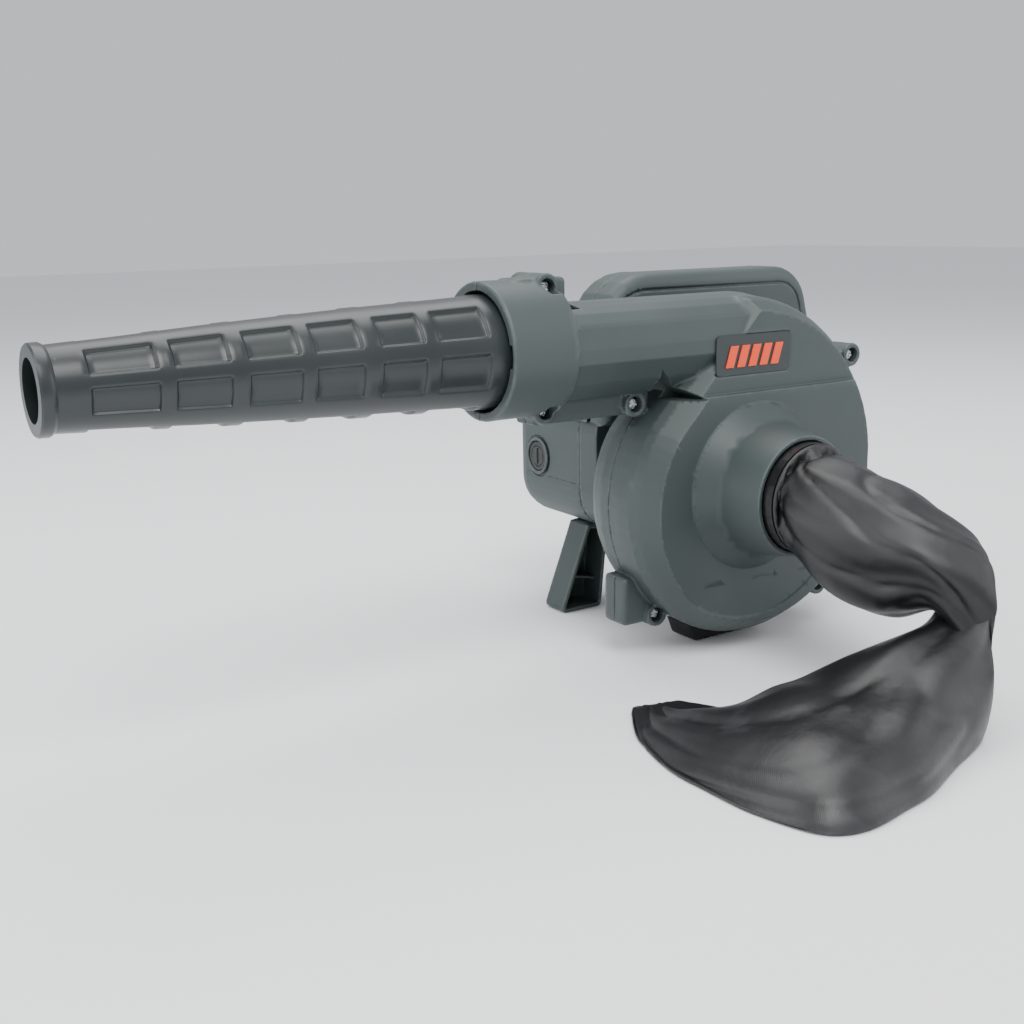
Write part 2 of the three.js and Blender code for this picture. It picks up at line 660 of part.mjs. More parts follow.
function brushCap(side) {
  const face = housingHalfWidth + 0.6;
  const disc = rod('x', side * (face - 2.4), side * face, [brushPlace, axisHeight], cap.radius, 20);
  const plug = rod('x', side * (holder.end + fitGap), side * (face - 2), [brushPlace, axisHeight],
    cap.thread, 16);
  const slot = block(...[side * (face - 1), side * (face + 1)].sort((a, b) => a - b), brushPlace - 0.8,
    brushPlace + 0.8,
    axisHeight - 6, axisHeight + 6);
  return disc.add(plug).subtract(slot);
}

for (const [side, name] of [[-1, 'left'], [1, 'right']]) {
  const tip = commutatorRadius + 0.4;
  addPiece(`brush_holder_${name}`, brushHolder(side), brass);
  addPiece(`carbon_brush_${name}`, along(side, tip, tip + brush.length, brush.halfWidth,
    brush.halfHeight), carbon);
  addPiece(`brush_spring_${name}`, brushSpring(side), steel);
  addPiece(`brush_cap_${name}`, brushCap(side), blackPlastic);
}

// ---------- motor housing ----------
const corner = 20;
const tabHalf = 5;
const frontTab = { left: -44, right: -32, top: 54 };
const sideTab = { right: 60, low: -3, high: 13 };
const handleMiddle = (handleNear + handleFar) / 2;
const leadHole = { x: -24, radius: 3.5 };

function housingSkin(inset, front, back) {
  const [halfX, halfZ] = [housingHalfWidth - inset, housingHalfHeight - inset];
  const straight = roundedBlock(halfX, halfZ, corner - inset, front, housingBack - 14);
  const levels = [[housingBack - 14, 0], [housingBack - 6, 3], [back, 12]];
  const outline = roundedOutline([[-1, -1], [1, -1], [1, 1],
    [-1, 1]].map(([sx, sz]) => [sx * halfX, sz * halfZ, corner - inset]));
  const points = outline.getPoints(3).slice(0, -1);
  const rings = levels.map(([y, shrink]) => points.map((point) => new THREE.Vector3(
    point.x * (1 - shrink / halfX), y, axisHeight + point.y * (1 - shrink / halfZ))));
  return straight.add(loft(rings));
}

// Tabs that stand up and out from the housing into the handle.
function housingTabs(clearance) {
  const [near, far] = [handleMiddle - tabHalf - clearance, handleMiddle + tabHalf + clearance];
  const [bottom, side] = [axisHeight + housingHalfHeight - 7, housingHalfWidth - 1];
  return [
    block(frontTab.left - clearance, frontTab.right + clearance, near, far, bottom,
      axisHeight + frontTab.top + clearance),
    block(side, sideTab.right + clearance, near, far, axisHeight + sideTab.low - clearance,
      axisHeight + sideTab.high + clearance),
  ];
}

function motorHousing() {
  const pads = [];
  for (const side of [-1, 1]) {
    const z = [side * (statorHalf + fitGap), side * (housingHalfHeight - 1)].sort((a, b) => a - b);
    pads.push(block(-14, 14, coreStart - 2, coreStart + coreLength, axisHeight + z[0], axisHeight + z[1]));
    const x = [side * (statorHalf + fitGap), side * (housingHalfWidth - 1)].sort((a, b) => a - b);
    pads.push(block(x[0], x[1], coreStart - 2, coreStart + coreLength - 4, axisHeight - 12,
      axisHeight + 12));
    const seat = rod('x', side * 24, side * (housingHalfWidth - 1), [brushPlace, axisHeight], 12, 20);
    pads.push(seat);
    const end = housingBack - wall;
    pads.push(rod('y', rearStart - 2, end + 1, [0, axisHeight], rearBearing.bush + 3, 24));
  }
  for (const [x, z] of housingScrews) {
    pads.push(block(x - 5, x + 5, housingFront, housingFront + 3.4,
      axisHeight + Math.min(z, Math.sign(z) * (housingHalfHeight - 1)) - (z < 0 ? 12 : 5),
      axisHeight + z + (z > 0 ? 11 : 5)));
  }
  const inside = housingSkin(wall, housingFront - 1, housingBack - wall);
  let body = housingSkin(0, housingFront, housingBack).subtract(inside);
  body = body.add(unite(pads).intersect(housingSkin(1, housingFront, housingBack - 1)));
  body = unite([body, ...housingTabs(0)]);
  const cuts = [rod('y', rearStart - 3, rearStart + rearWidth + 0.8, [0, axisHeight],
    rearBearing.bush + fitGap, 24)];
  cuts.push(rod('z', axisHeight + 30, axisHeight + 50, [leadHole.x, handleMiddle], leadHole.radius, 16));
  for (const side of [-1, 1]) {
    const depth = side * (housingHalfWidth + 2);
    cuts.push(along(side, holder.start - 2, holder.end + 2, brush.halfWidth + 1 + 2 * fitGap,
      brush.halfHeight + 1 + 2 * fitGap));
    cuts.push(rod('x', side * (holder.end - 0.2), depth, [brushPlace, axisHeight], cap.thread + fitGap, 16));
    cuts.push(rod('x', side * (housingHalfWidth - 2.2), depth, [brushPlace, axisHeight],
      cap.radius + fitGap, 20));
  }
  for (let i = -2; i <= 2; i += 1) {
    if (i === 0) continue;
    for (const side of [-1, 1]) {
      const z = [side * 17, side * 23].sort((a, b) => a - b);
      cuts.push(block(i * 9 - 2, i * 9 + 2, housingBack - 8, housingBack + 2, axisHeight + z[0],
        axisHeight + z[1]));
    }
  }
  for (const [x, z] of housingScrews) {
    cuts.push(rod('y', housingFront - 1, housingFront + 5, [x, axisHeight + z], screwRadius + fitGap, 10));
  }
  for (const [x, z] of tabScrews) {
    cuts.push(rod('y', handleNear, handleFar, [x, axisHeight + z], screwRadius + fitGap, 10));
  }
  for (const x of standScrews) {
    cuts.push(rod('z', axisHeight - housingHalfHeight - 1, axisHeight - housingHalfHeight + 12,
      [x, standMiddle], screwRadius + fitGap, 10));
  }
  return body.subtract(unite(cuts));
}

// ---------- stand ----------
const standFront = 80;
const standBack = 100;
const standMiddle = (standFront + standBack) / 2;
const standScrews = [-9, 9];
const legOuter = 51;
const legInner = 20;
const saddleTop = -housingHalfHeight - fitGap;

function legOutline(inset) {
  return roundedOutline([
    [-30 + inset, saddleTop - inset, 1], [-legOuter + inset * 1.3, -axisHeight + inset, 3],
    [-legInner - inset, -axisHeight + inset, 3], [-14 - inset, saddleTop - inset, 1],
  ]);
}

function stand() {
  let left = prism(legOutline(0), standFront, standBack, 3);
  left = left.subtract(prism(legOutline(2.4), standFront - 1, standBack - 2.2, 3));
  const right = left.mirror([1, 0, 0]);
  const saddle = block(-26, 26, standFront, standBack, axisHeight + saddleTop - 3.2, axisHeight + saddleTop);
  let bracket = unite([left, right, saddle]);
  for (const x of standScrews) {
    bracket = bracket.subtract(rod('z', 0, axisHeight, [x, standMiddle], screwRadius + fitGap, 10));
  }
  return bracket;
}

function uprightScrew(x) {
  const top = axisHeight + saddleTop - 3.2 - fitGap;
  const head = rod('z', top - 2.4, top, [x, standMiddle], screwHeadRadius, 12);
  return head.add(rod('z', top - 1, top + 8, [x, standMiddle], screwRadius, 8));
}

// ---------- handle ----------
const tabScrews = [[-38, 48.5], [53, 5]];
const handleScrews = [...tabScrews, [58, 98], [114, 38]];
const gripLow = handleTop - gripHeight;
const footLow = housingHalfHeight - 14;

const handleOutline = [
  [handleFront + 4, footLow, 1], [handleFront, handleTop, 34], [handleTopRear, handleTop, 26],
  [handleRear, 40, 20], [handleRear, -12, 22],
  [housingHalfWidth + fitGap, -12, 2], [housingHalfWidth + fitGap, 22, 2],
  [handleTopRear - 15, 22, 12], [handleTopRear - 18, gripLow, 16], [-14, gripLow, 18], [-17, footLow, 1],
];

function insetOutline(corners, inset) {
  return corners.map(([x, z, rounding], i) => {
    const at = new THREE.Vector2(x, z);
    const back = new THREE.Vector2(...corners.at(i - 1)).sub(at).normalize();
    const on = new THREE.Vector2(...corners[(i + 1) % corners.length]).sub(at).normalize();
    const turn = back.cross(on);
    const reach = inset / Math.sin(Math.acos(THREE.MathUtils.clamp(back.dot(on), -1, 1)) / 2);
    const direction = back.add(on).normalize().multiplyScalar(turn > 0 ? reach : -reach);
    return [x + direction.x, z + direction.y, Math.max(rounding + (turn > 0 ? -inset : inset), 0.5)];
  });
}

const trigger = { left: -1, right: 33, halfWidth: 7, drop: 7, top: 6 };
const lockButton = { x: 44, z: handleTop - 14, radius: 5 };
const dial = { x: 106, z: 58, radius: 9, thickness: 4 };
const gland = { z: 9, radius: 7, start: handleRear - 9, end: handleRear + 8 };

function handleHalf(near) {
  const middle = handleMiddle;
  const [from, to] = near ? [handleNear, middle - fitGap / 2] : [middle + fitGap / 2, handleFar];
  const outer = prism(roundedOutline(handleOutline), from, to, 4);
  const inner = prism(roundedOutline(insetOutline(handleOutline, wall)), near ? from + wall : from - 1,
    near ? to + 1 : to - wall, 4);
  let half = outer.subtract(inner);
  for (const [x, z] of handleScrews) {
    const post = near ? [from, middle - fitGap / 2] : [middle + fitGap / 2, to];
    const onTab = tabScrews.some(([tx]) => tx === x);
    if (onTab && near) post[1] = middle - tabHalf - fitGap;
    if (onTab && !near) post[0] = middle + tabHalf + fitGap;
    half = half.add(rod('y', post[0], post[1], [x, axisHeight + z], 4.6, 10));
  }
  const cuts = [];
  for (const [x, z] of handleScrews) {
    cuts.push(rod('y', near ? handleNear + wall : middle - 1, near ? middle + 1 : handleFar + 1,
      [x, axisHeight + z], screwRadius + fitGap, 10));
    if (!near) cuts.push(rod('y', handleFar - 4, handleFar + 1, [x, axisHeight + z],
      screwHeadRadius + 0.5, 14));
  }
  cuts.push(block(trigger.left - 0.6, trigger.right + 0.6, middle - trigger.halfWidth - 0.6,
    middle + trigger.halfWidth + 0.6,
    axisHeight + gripLow - 2, axisHeight + gripLow + wall + 2));
  cuts.push(rod('x', handleRear - 5, handleRear + 2, [middle, axisHeight + gland.z],
    gland.radius + fitGap, 24));
  cuts.push(...housingTabs(fitGap));
  cuts.push(rod('z', axisHeight + housingHalfHeight - 10, axisHeight + housingHalfHeight + 5,
    [leadHole.x, middle],
    leadHole.radius, 16));
  if (!near) cuts.push(rod('y', handleFar - 5, handleFar + 1, [lockButton.x, axisHeight + lockButton.z],
    lockButton.radius + fitGap, 16));
  if (!near) cuts.push(rod('y', handleFar - 1.4, handleFar + 1, [dial.x, axisHeight + dial.z],
    dial.radius + fitGap, 20));
  if (!near) cuts.push(rod('y', handleFar - 5, handleFar + 1, [dial.x, axisHeight + dial.z], 3 + fitGap,
    16));
  return half.subtract(unite(cuts)).subtract(housingSkin(-fitGap, handleNear - 1, housingBack));
}

function triggerPiece() {
  const { left, right, halfWidth, drop, top } = trigger;
  const corners = [[left, gripLow - drop, 5], [right, gripLow - drop + 2, 5], [right, gripLow + top, 0],
    [left, gripLow + top, 0]];
  const body = prism(roundedOutline(corners), handleMiddle - halfWidth, handleMiddle + halfWidth, 4);
  const flange = block(left - 2.5, right + 2.5, handleMiddle - halfWidth - 2, handleMiddle + halfWidth + 2,
    axisHeight + gripLow + wall + fitGap, axisHeight + gripLow + wall + fitGap + 1.6);
  return body.add(flange);
}

const switchBody = { left: 0, right: 34, low: gripLow + 16, high: handleTop - wall - 1, halfWidth: 11 };
function switchPiece() {
  const { left, right, low, high, halfWidth } = switchBody;
  const body = block(left, right, handleMiddle - halfWidth, handleMiddle + halfWidth, axisHeight + low,
    axisHeight + high);
  return body;
}

function triggerSpring() {
  const from = gripLow + trigger.top + fitGap;
  const to = switchBody.low - fitGap;
  const geometry = coilSpring(to - from - 1, 3, 4, 0.45);
  geometry.translate(11, handleMiddle, axisHeight + from + 0.5);
  return solid(geometry);
}

function lockPiece() {
  const { x, z, radius } = lockButton;
  const button = rod('y', handleFar - 8, handleFar + 2.8, [x, axisHeight + z], radius, 16);
  return button.add(rod('y', handleFar - 5.5, handleFar - wall - fitGap, [x, axisHeight + z],
    radius + 1.4, 16));
}

function dialPiece() {
  const { x, z, radius, thickness } = dial;
  const wheel = rod('y', handleFar - 1.4 + fitGap, handleFar - 1.4 + thickness, [x, axisHeight + z],
    radius, 20);
  const spindle = rod('y', handleFar - 9, handleFar - 1, [x, axisHeight + z], 3, 16);
  const pointer = block(x - 0.6, x + 0.6, handleFar + thickness - 2, handleFar + thickness,
    axisHeight + z + 3, axisHeight + z + radius - 1);
  return wheel.add(spindle).subtract(pointer);
}

function speedControl() {
  const { x, z } = dial;
  return block(x - 9, x + 9, handleFar - 20, handleFar - 9.3, axisHeight + z - 14, axisHeight + z + 14);
}

function cordGland() {
  const { z, radius, start, end } = gland;
  const sleeve = rod('x', start, end, [handleMiddle, axisHeight + z], radius, 24);
  const flange = rod('x', start, start + 3, [handleMiddle, axisHeight + z], radius + 2, 24);
  return sleeve.add(flange).subtract(rod('x', start - 1, end + 1, [handleMiddle, axisHeight + z], 3.8, 20));
}

const clampPlace = handleRear - 18;
function cordClamp() {
  return block(clampPlace - 4, clampPlace + 4, handleMiddle - 13, handleMiddle + 13,
    axisHeight + gland.z - 6.6, axisHeight + gland.z - 4);
}

function handleScrew(x, z) {
  const head = rod('y', handleFar - 4 + 0.1, handleFar - 4 + 2.7, [x, axisHeight + z], screwHeadRadius, 12);
  const shank = rod('y', handleNear + wall + 1, handleFar - 3.5, [x, axisHeight + z], screwRadius, 8);
  return head.add(shank);
}

function lead(points) {
  const section = new THREE.Shape();
  section.absarc(0, 0, 1.6, 0, Math.PI * 2);
  const path = new THREE.CatmullRomCurve3(points.map(([x, y, z]) => new THREE.Vector3(x, y,
    axisHeight + z)));
  return solid(new THREE.ExtrudeGeometry(section,
    { extrudePath: path, steps: 24, curveSegments: 3, bevelEnabled: false }));
}

addPiece('motor_housing', motorHousing(), casing);
housingScrews.forEach(([x, z], i) => addPiece(`housing_screw_${i + 1}`,
  rod('y', 38.5, housingFront + 4, [x, axisHeight + z], screwRadius, 8).add(
    rod('y', housingFront + 3.4 + fitGap, housingFront + 6, [x, axisHeight + z], screwHeadRadius, 12)),
      steel));
addPiece('motor_stand', stand(), casing);
standScrews.forEach((x, i) => addPiece(`stand_screw_${i + 1}`, uprightScrew(x), steel));
addPiece('handle_near_half', handleHalf(true), casing);
addPiece('handle_far_half', handleHalf(false), casing);
handleScrews.forEach(([x, z], i) => addPiece(`handle_screw_${i + 1}`, handleScrew(x, z), steel));
addPiece('trigger', triggerPiece(), blackPlastic);
addPiece('trigger_spring', triggerSpring(), steel);
addPiece('switch_body', switchPiece(), blackPlastic);
addPiece('lock_button', lockPiece(), blackPlastic);
addPiece('speed_dial', dialPiece(), blackPlastic);
addPiece('speed_control', speedControl(), blackPlastic);
addPiece('cord_gland', cordGland(), rubber);
addPiece('cord_clamp', cordClamp(), blackPlastic);
addPiece('motor_lead', lead([
  [-1, handleMiddle, 103], [-12, handleMiddle, 98], [-22, handleMiddle, 82],
  [-25, handleMiddle, 60], [leadHole.x, handleMiddle, 46], [leadHole.x, handleMiddle, 36],
]), blackPlastic);

export default group;
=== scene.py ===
import math

import bmesh
import bpy
import numpy as np
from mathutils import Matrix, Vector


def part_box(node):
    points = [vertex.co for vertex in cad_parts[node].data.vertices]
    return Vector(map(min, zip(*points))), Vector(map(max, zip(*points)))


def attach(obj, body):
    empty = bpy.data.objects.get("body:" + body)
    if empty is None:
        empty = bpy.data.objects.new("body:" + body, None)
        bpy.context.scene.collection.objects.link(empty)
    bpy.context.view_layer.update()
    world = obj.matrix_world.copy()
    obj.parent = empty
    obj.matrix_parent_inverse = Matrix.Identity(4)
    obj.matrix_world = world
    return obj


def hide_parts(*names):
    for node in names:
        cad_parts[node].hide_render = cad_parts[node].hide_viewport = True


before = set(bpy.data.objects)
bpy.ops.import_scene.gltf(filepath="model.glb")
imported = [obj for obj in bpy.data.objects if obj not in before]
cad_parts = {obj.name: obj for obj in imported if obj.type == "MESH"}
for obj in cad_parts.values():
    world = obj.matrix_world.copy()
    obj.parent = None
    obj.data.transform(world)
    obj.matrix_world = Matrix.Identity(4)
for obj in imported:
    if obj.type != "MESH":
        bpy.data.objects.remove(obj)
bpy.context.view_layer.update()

import openvdb
from mathutils import Matrix, Vector, noise

mm = 0.001


def middle(node):
    low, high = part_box(node)
    return [(a + b) / 2 / mm for a, b in zip(low, high)]


def edges(node):
    low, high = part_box(node)
    return [a / mm for a in low], [a / mm for a in high]


axisHeight = middle("impeller")[2]  # everything below is in millimetres, heights from the fan axis
nozzleLift = (edges("nozzle")[0][2] + edges("nozzle")[1][2]) / 2 - axisHeight
collarFront = edges("front_volute_shell")[0][0]
inletFront = edges("front_volute_shell")[0][1]
nozzleTip = edges("nozzle")[0][0]
nozzleRoot = edges("nozzle")[1][0]
plugFace = collarFront + 1


cameraSetup = {"from": (-466.9, -524.9, 239.3), "azimuth": 32.25, "down": 13.33, "roll": -1.19,
               "lens": 43.95}


def setCamera():
    azimuth, down, roll = (math.radians(cameraSetup[key]) for key in ("azimuth", "down", "roll"))
    forward = Vector((math.sin(azimuth) * math.cos(down), math.cos(azimuth) * math.cos(down),
                      -math.sin(down)))
    right = Vector((math.cos(azimuth), -math.sin(azimuth), 0))
    up = right.cross(forward)
    rolledRight = math.cos(roll) * right + math.sin(roll) * up
    rolledUp = math.cos(roll) * up - math.sin(roll) * right
    camera = bpy.data.objects.new("camera", bpy.data.cameras.new("camera"))
    camera.data.lens = cameraSetup["lens"]
    camera.data.sensor_width = 36
    turn = Matrix((rolledRight, rolledUp, -forward)).transposed().to_4x4()
    camera.matrix_world = Matrix.Translation(Vector(cameraSetup["from"]) * mm) @ turn
    bpy.context.scene.collection.objects.link(camera)
    bpy.context.scene.camera = camera


setCamera()
print("camera set")

lightSetup = {
    "key": {"at": (-0.5, -0.9, 1.5), "size": 0.9, "power": 26},
    "side": {"at": (-1.5, 0.3, 0.7), "size": 0.9, "power": 12},
    "fill": {"at": (1.2, -0.9, 0.8), "size": 1.2, "power": 8},
    "top": {"at": (0.1, 0.5, 1.5), "size": 1.2, "power": 18},
}


def lightStage():
    for name, setup in lightSetup.items():
        data = bpy.data.lights.new(name, "AREA")
        data.size = setup["size"]
        data.energy = setup["power"]
        lamp = bpy.data.objects.new(name, data)
        lamp.location = setup["at"]
        aim = Vector((-0.08, 0, 0.1)) - Vector(setup["at"])
        lamp.rotation_euler = aim.to_track_quat("-Z", "Y").to_euler()
        bpy.context.scene.collection.objects.link(lamp)
    world = bpy.data.worlds.new("studio")
    world.use_nodes = True
    world.node_tree.nodes["Background"].inputs[0].default_value = (0.93, 0.95, 1, 1)
    world.node_tree.nodes["Background"].inputs[1].default_value = 0.75
    bpy.context.scene.world = world


lightStage()


class Signal:  # a socket's output, with sums written as Python
    def __init__(self, graph, socket):
        self.graph = graph
        self.socket = socket

    def maths(self, operation, *values, flip=False):
        inputs = (values[0], self) if flip else (self, *values)
        return self.graph.node("ShaderNodeMath", {"operation": operation}, dict(enumerate(inputs)))

    def __add__(self, other):
        return self.maths("ADD", other)

    def __radd__(self, other):
        return self.maths("ADD", other)

    def __mul__(self, other):
        return self.maths("MULTIPLY", other)

    def __rmul__(self, other):
        return self.maths("MULTIPLY", other)

    def __sub__(self, other):
        return self.maths("SUBTRACT", other)

    def __rsub__(self, other):
        return self.maths("SUBTRACT", other, flip=True)

    def __gt__(self, other):
        return self.maths("GREATER_THAN", other)

    def __lt__(self, other):
        return self.maths("LESS_THAN", other)


class Graph:  # a node tree that is built by calls
    def node(self, kind, settings=None, inputs=None, output=0):
        made = self.tree.nodes.new(kind)
        for key, value in (settings or {}).items():
            if key == "stops":
                self.setStops(made.color_ramp, value)
            else:
                setattr(made, key, value)
        for key, value in (inputs or {}).items():
            self.feed(made.inputs[key], value)
        return Signal(self, made.outputs[output])

    def setStops(self, ramp, stops):
        while len(ramp.elements) < len(stops):
            ramp.elements.new(0.5)
        for element, (place, tone) in zip(ramp.elements, stops):
            element.position = place
            element.color = tone if isinstance(tone, tuple) else (tone, tone, tone, 1)

    def feed(self, socket, value):
        if isinstance(value, Signal):
            self.tree.links.new(value.socket, socket)
        else:
            socket.default_value = value


class Shader(Graph):  # one material
    def __init__(self, name, **fixed):
        self.material = bpy.data.materials.new(name)
        self.material.use_nodes = True
        self.tree = self.material.node_tree
        self.surface = self.tree.nodes["Principled BSDF"]
        for socket, value in fixed.items():
            self.surface.inputs[socket.replace("_", " ")].default_value = value

    def place(self, scale=(1, 1, 1), turn=(0, 0, 0)):
        where = self.node("ShaderNodeTexCoord", output="Object")
        return self.node("ShaderNodeMapping", {}, {"Vector": where, "Scale": scale, "Rotation": turn})

    def axis(self, name, vector=None):
        vector = vector or self.node("ShaderNodeTexCoord", output="Object")
        return self.node("ShaderNodeSeparateXYZ", {}, {0: vector}, output=name)

    def grain(self, scale, detail=2, roughness=0.5, vector=None):
        inputs = {"Vector": vector or self.place(), "Scale": scale, "Detail": detail,
                  "Roughness": roughness}
        return self.node("ShaderNodeTexNoise", {}, inputs)

    def ramp(self, signal, stops):
        return self.node("ShaderNodeValToRGB", {"stops": stops}, {0: signal})

    def mix(self, factor, one, other, blend="MIX"):
        made = self.tree.nodes.new("ShaderNodeMix")
        made.data_type = "RGBA"
        made.blend_type = blend
        for socket, value in ((0, factor), (6, one), (7, other)):
            self.feed(made.inputs[socket], value)
        return Signal(self, made.outputs[2])

    def bump(self, height, strength, distance, normal=None):
        inputs = {"Height": height, "Strength": strength, "Distance": distance}
        if normal:
            inputs["Normal"] = normal
        return self.node("ShaderNodeBump", {}, inputs)

    def finish(self, **varying):
        for socket, value in varying.items():
            self.feed(self.surface.inputs[socket.replace("_", " ")], value)
        return self.material


class Recipe(Graph):  # a geometry tree, with its named inputs set before it is evaluated
    def __init__(self, name, **numbers):
        self.tree = bpy.data.node_groups.new(name, "GeometryNodeTree")
        self.tree.interface.new_socket("Geometry", in_out="INPUT", socket_type="NodeSocketGeometry")
        self.tree.interface.new_socket("Geometry", in_out="OUTPUT", socket_type="NodeSocketGeometry")
        self.numbers = {}
        for label, value in numbers.items():
            made = self.tree.interface.new_socket(label, in_out="INPUT", socket_type="NodeSocketFloat")
            self.numbers[made.identifier] = float(value)
        self.entry = self.tree.nodes.new("NodeGroupInput")
        self.exit = self.tree.nodes.new("NodeGroupOutput")
        self.start = Signal(self, self.entry.outputs[0])

    def number(self, label):
        return Signal(self, self.entry.outputs[label])

    def named(self, label):
        return self.node("GeometryNodeInputNamedAttribute", {"data_type": "FLOAT"}, {"Name": label})

    def make(self, geometry, source, look):
        real = self.node("GeometryNodeRealizeInstances", {}, {0: geometry})
        finished = self.node("GeometryNodeSetMaterial", {}, {0: real, "Material": looks[look]})
        self.feed(self.exit.inputs[0], finished)
        modifier = source.modifiers.new("recipe", "NODES")
        modifier.node_group = self.tree
        for identifier, value in self.numbers.items():
            modifier[identifier] = value
        bpy.context.view_layer.update()
        shown = source.evaluated_get(bpy.context.evaluated_depsgraph_get())
        mesh = bpy.data.meshes.new_from_object(shown)
        name = source.name
        bpy.data.objects.remove(source)
        piece = bpy.data.objects.new(name, mesh)
        bpy.context.scene.collection.objects.link(piece)
        print(name, "faces", len(mesh.polygons))
        return piece


def shade(red, green, blue):  # a screen colour, 0 to 255, as the shader's own colour
    def straight(value):
        value /= 255
        return value / 12.92 if value <= 0.04045 else ((value + 0.055) / 1.055) ** 2.4
    return (straight(red), straight(green), straight(blue), 1)


grainOf = {  # how fine each pattern is, as a texture scale
    "spark": 2600, "cloud": 14, "flow": 60, "scratch": 90, "speck": 420, "wear": 160, "ripple": 240,
    "brush": 900, "tarnish": 120, "sheets": 320.0, "rust": 160, "turns": 260.0, "dust": 70,
    "rubber": 900,
    "weave": 90.0, "dye": 22, "lint": 300, "patch": 26, "crease": 75, "floor": 3, "floorSheen": 40,
}


def mouldedPlastic(name, base, pale, roughness, grainDepth, scuffs=0.5, **fixed):
    shader = Shader(name, **fixed)
    spark = shader.grain(grainOf["spark"], 2)
    cloud = shader.grain(grainOf["cloud"], 4)
    flow = shader.grain(grainOf["flow"], 3, vector=shader.place((0.25, 1, 1)))
    scratchMask = shader.ramp(shader.grain(grainOf["scratch"], 6, 0.7,
                                           shader.place((1, 1, 0.18), (0.3, 0.5, 0.2))),
                              [(0.70, 0.0), (0.74, 1.0)])
    specks = shader.ramp(shader.grain(grainOf["speck"], 3, 0.6), [(0.735, 0.0), (0.77, 1.0)])
    tone = shader.mix(shader.ramp(cloud, [(0.3, 0.0), (0.75, 1.0)]), base, pale)
    tone = shader.mix(spark * 0.10, tone, tuple(min(1, c * 1.9) for c in pale[:3]) + (1,))
    edge = shader.node("ShaderNodeAttribute", {"attribute_name": "edge"}, output="Fac")
    worn = edge * shader.ramp(shader.grain(grainOf["wear"], 4, 0.6), [(0.35, 0.15), (0.7, 1.0)])
    marks = (scratchMask * 0.30 + specks * 0.2 + worn * 0.45) * scuffs
    tone = shader.mix(marks, tone, shade(150, 160, 158))
    rough = cloud * 0.14 + flow * 0.1 + (roughness - 0.12) + marks * 0.2
    normal = shader.bump(spark, 0.45, grainDepth * mm)
    normal = shader.bump(shader.grain(grainOf["ripple"], 3), 0.12, 0.1 * mm, normal)
    return shader.finish(Base_Color=tone, Roughness=rough, Normal=normal)


def metal(name, base, roughness, brushed=(1, 1, 1), **fixed):
    shader = Shader(name, Metallic=1.0, **fixed)
    streaks = shader.grain(grainOf["brush"], 4, 0.7, shader.place(brushed))
    tarnish = shader.grain(grainOf["tarnish"], 3)
    tone = shader.mix(tarnish * 0.5, base, tuple(c * 0.55 for c in base[:3]) + (1,))
    return shader.finish(Base_Color=tone, Roughness=streaks * 0.2 + roughness,
                         Normal=shader.bump(streaks, 0.2, 0.05 * mm))


def stackedSheet():  # laminations: thin steel sheets across the shaft
    shader = Shader("laminatedSteel", Metallic=0.9)
    lines = shader.node("ShaderNodeTexWave", {"bands_direction": "Y"},
                        {"Vector": shader.place(), "Scale": grainOf["sheets"]})
    rust = shader.ramp(shader.grain(grainOf["rust"], 5), [(0.5, 0.0), (0.75, 1.0)])
    tone = shader.mix(lines * 0.5, shade(112, 114, 118), shade(60, 62, 66))
    tone = shader.mix(rust * 0.35, tone, shade(120, 86, 58))
    return shader.finish(Base_Color=tone, Roughness=rust * 0.3 + 0.42,
                         Normal=shader.bump(lines, 0.5, 0.12 * mm))


def woundWire():
    shader = Shader("woundWire", Metallic=0.85, Coat_Weight=0.4)
    turns = shader.node("ShaderNodeTexWave", {"wave_type": "RINGS", "rings_direction": "Y"},
                        {"Vector": shader.place(), "Scale": grainOf["turns"], "Distortion": 1.2})
    tone = shader.mix(turns, shade(120, 58, 26), shade(196, 112, 62))
    return shader.finish(Base_Color=tone, Roughness=turns * 0.15 + 0.3,
                         Normal=shader.bump(turns, 0.8, 0.25 * mm))


def softRubber(name, base):
    shader = Shader(name)
    dust = shader.ramp(shader.grain(grainOf["dust"], 5), [(0.5, 0.0), (0.8, 1.0)])
    tone = shader.mix(dust * 0.3, base, shade(70, 72, 72))
    return shader.finish(Base_Color=tone, Roughness=dust * 0.1 + 0.75,
                         Normal=shader.bump(shader.grain(grainOf["rubber"], 3), 0.4, 0.1 * mm))


def paleFloor():
    shader = Shader("paleFloor")
    tone = shader.mix(shader.grain(grainOf["floor"], 3) * 0.2, (0.86, 0.87, 0.88, 1),
                      (0.8, 0.81, 0.82, 1))
    return shader.finish(Base_Color=tone, Roughness=shader.grain(grainOf["floorSheen"], 3) * 0.1 + 0.75)


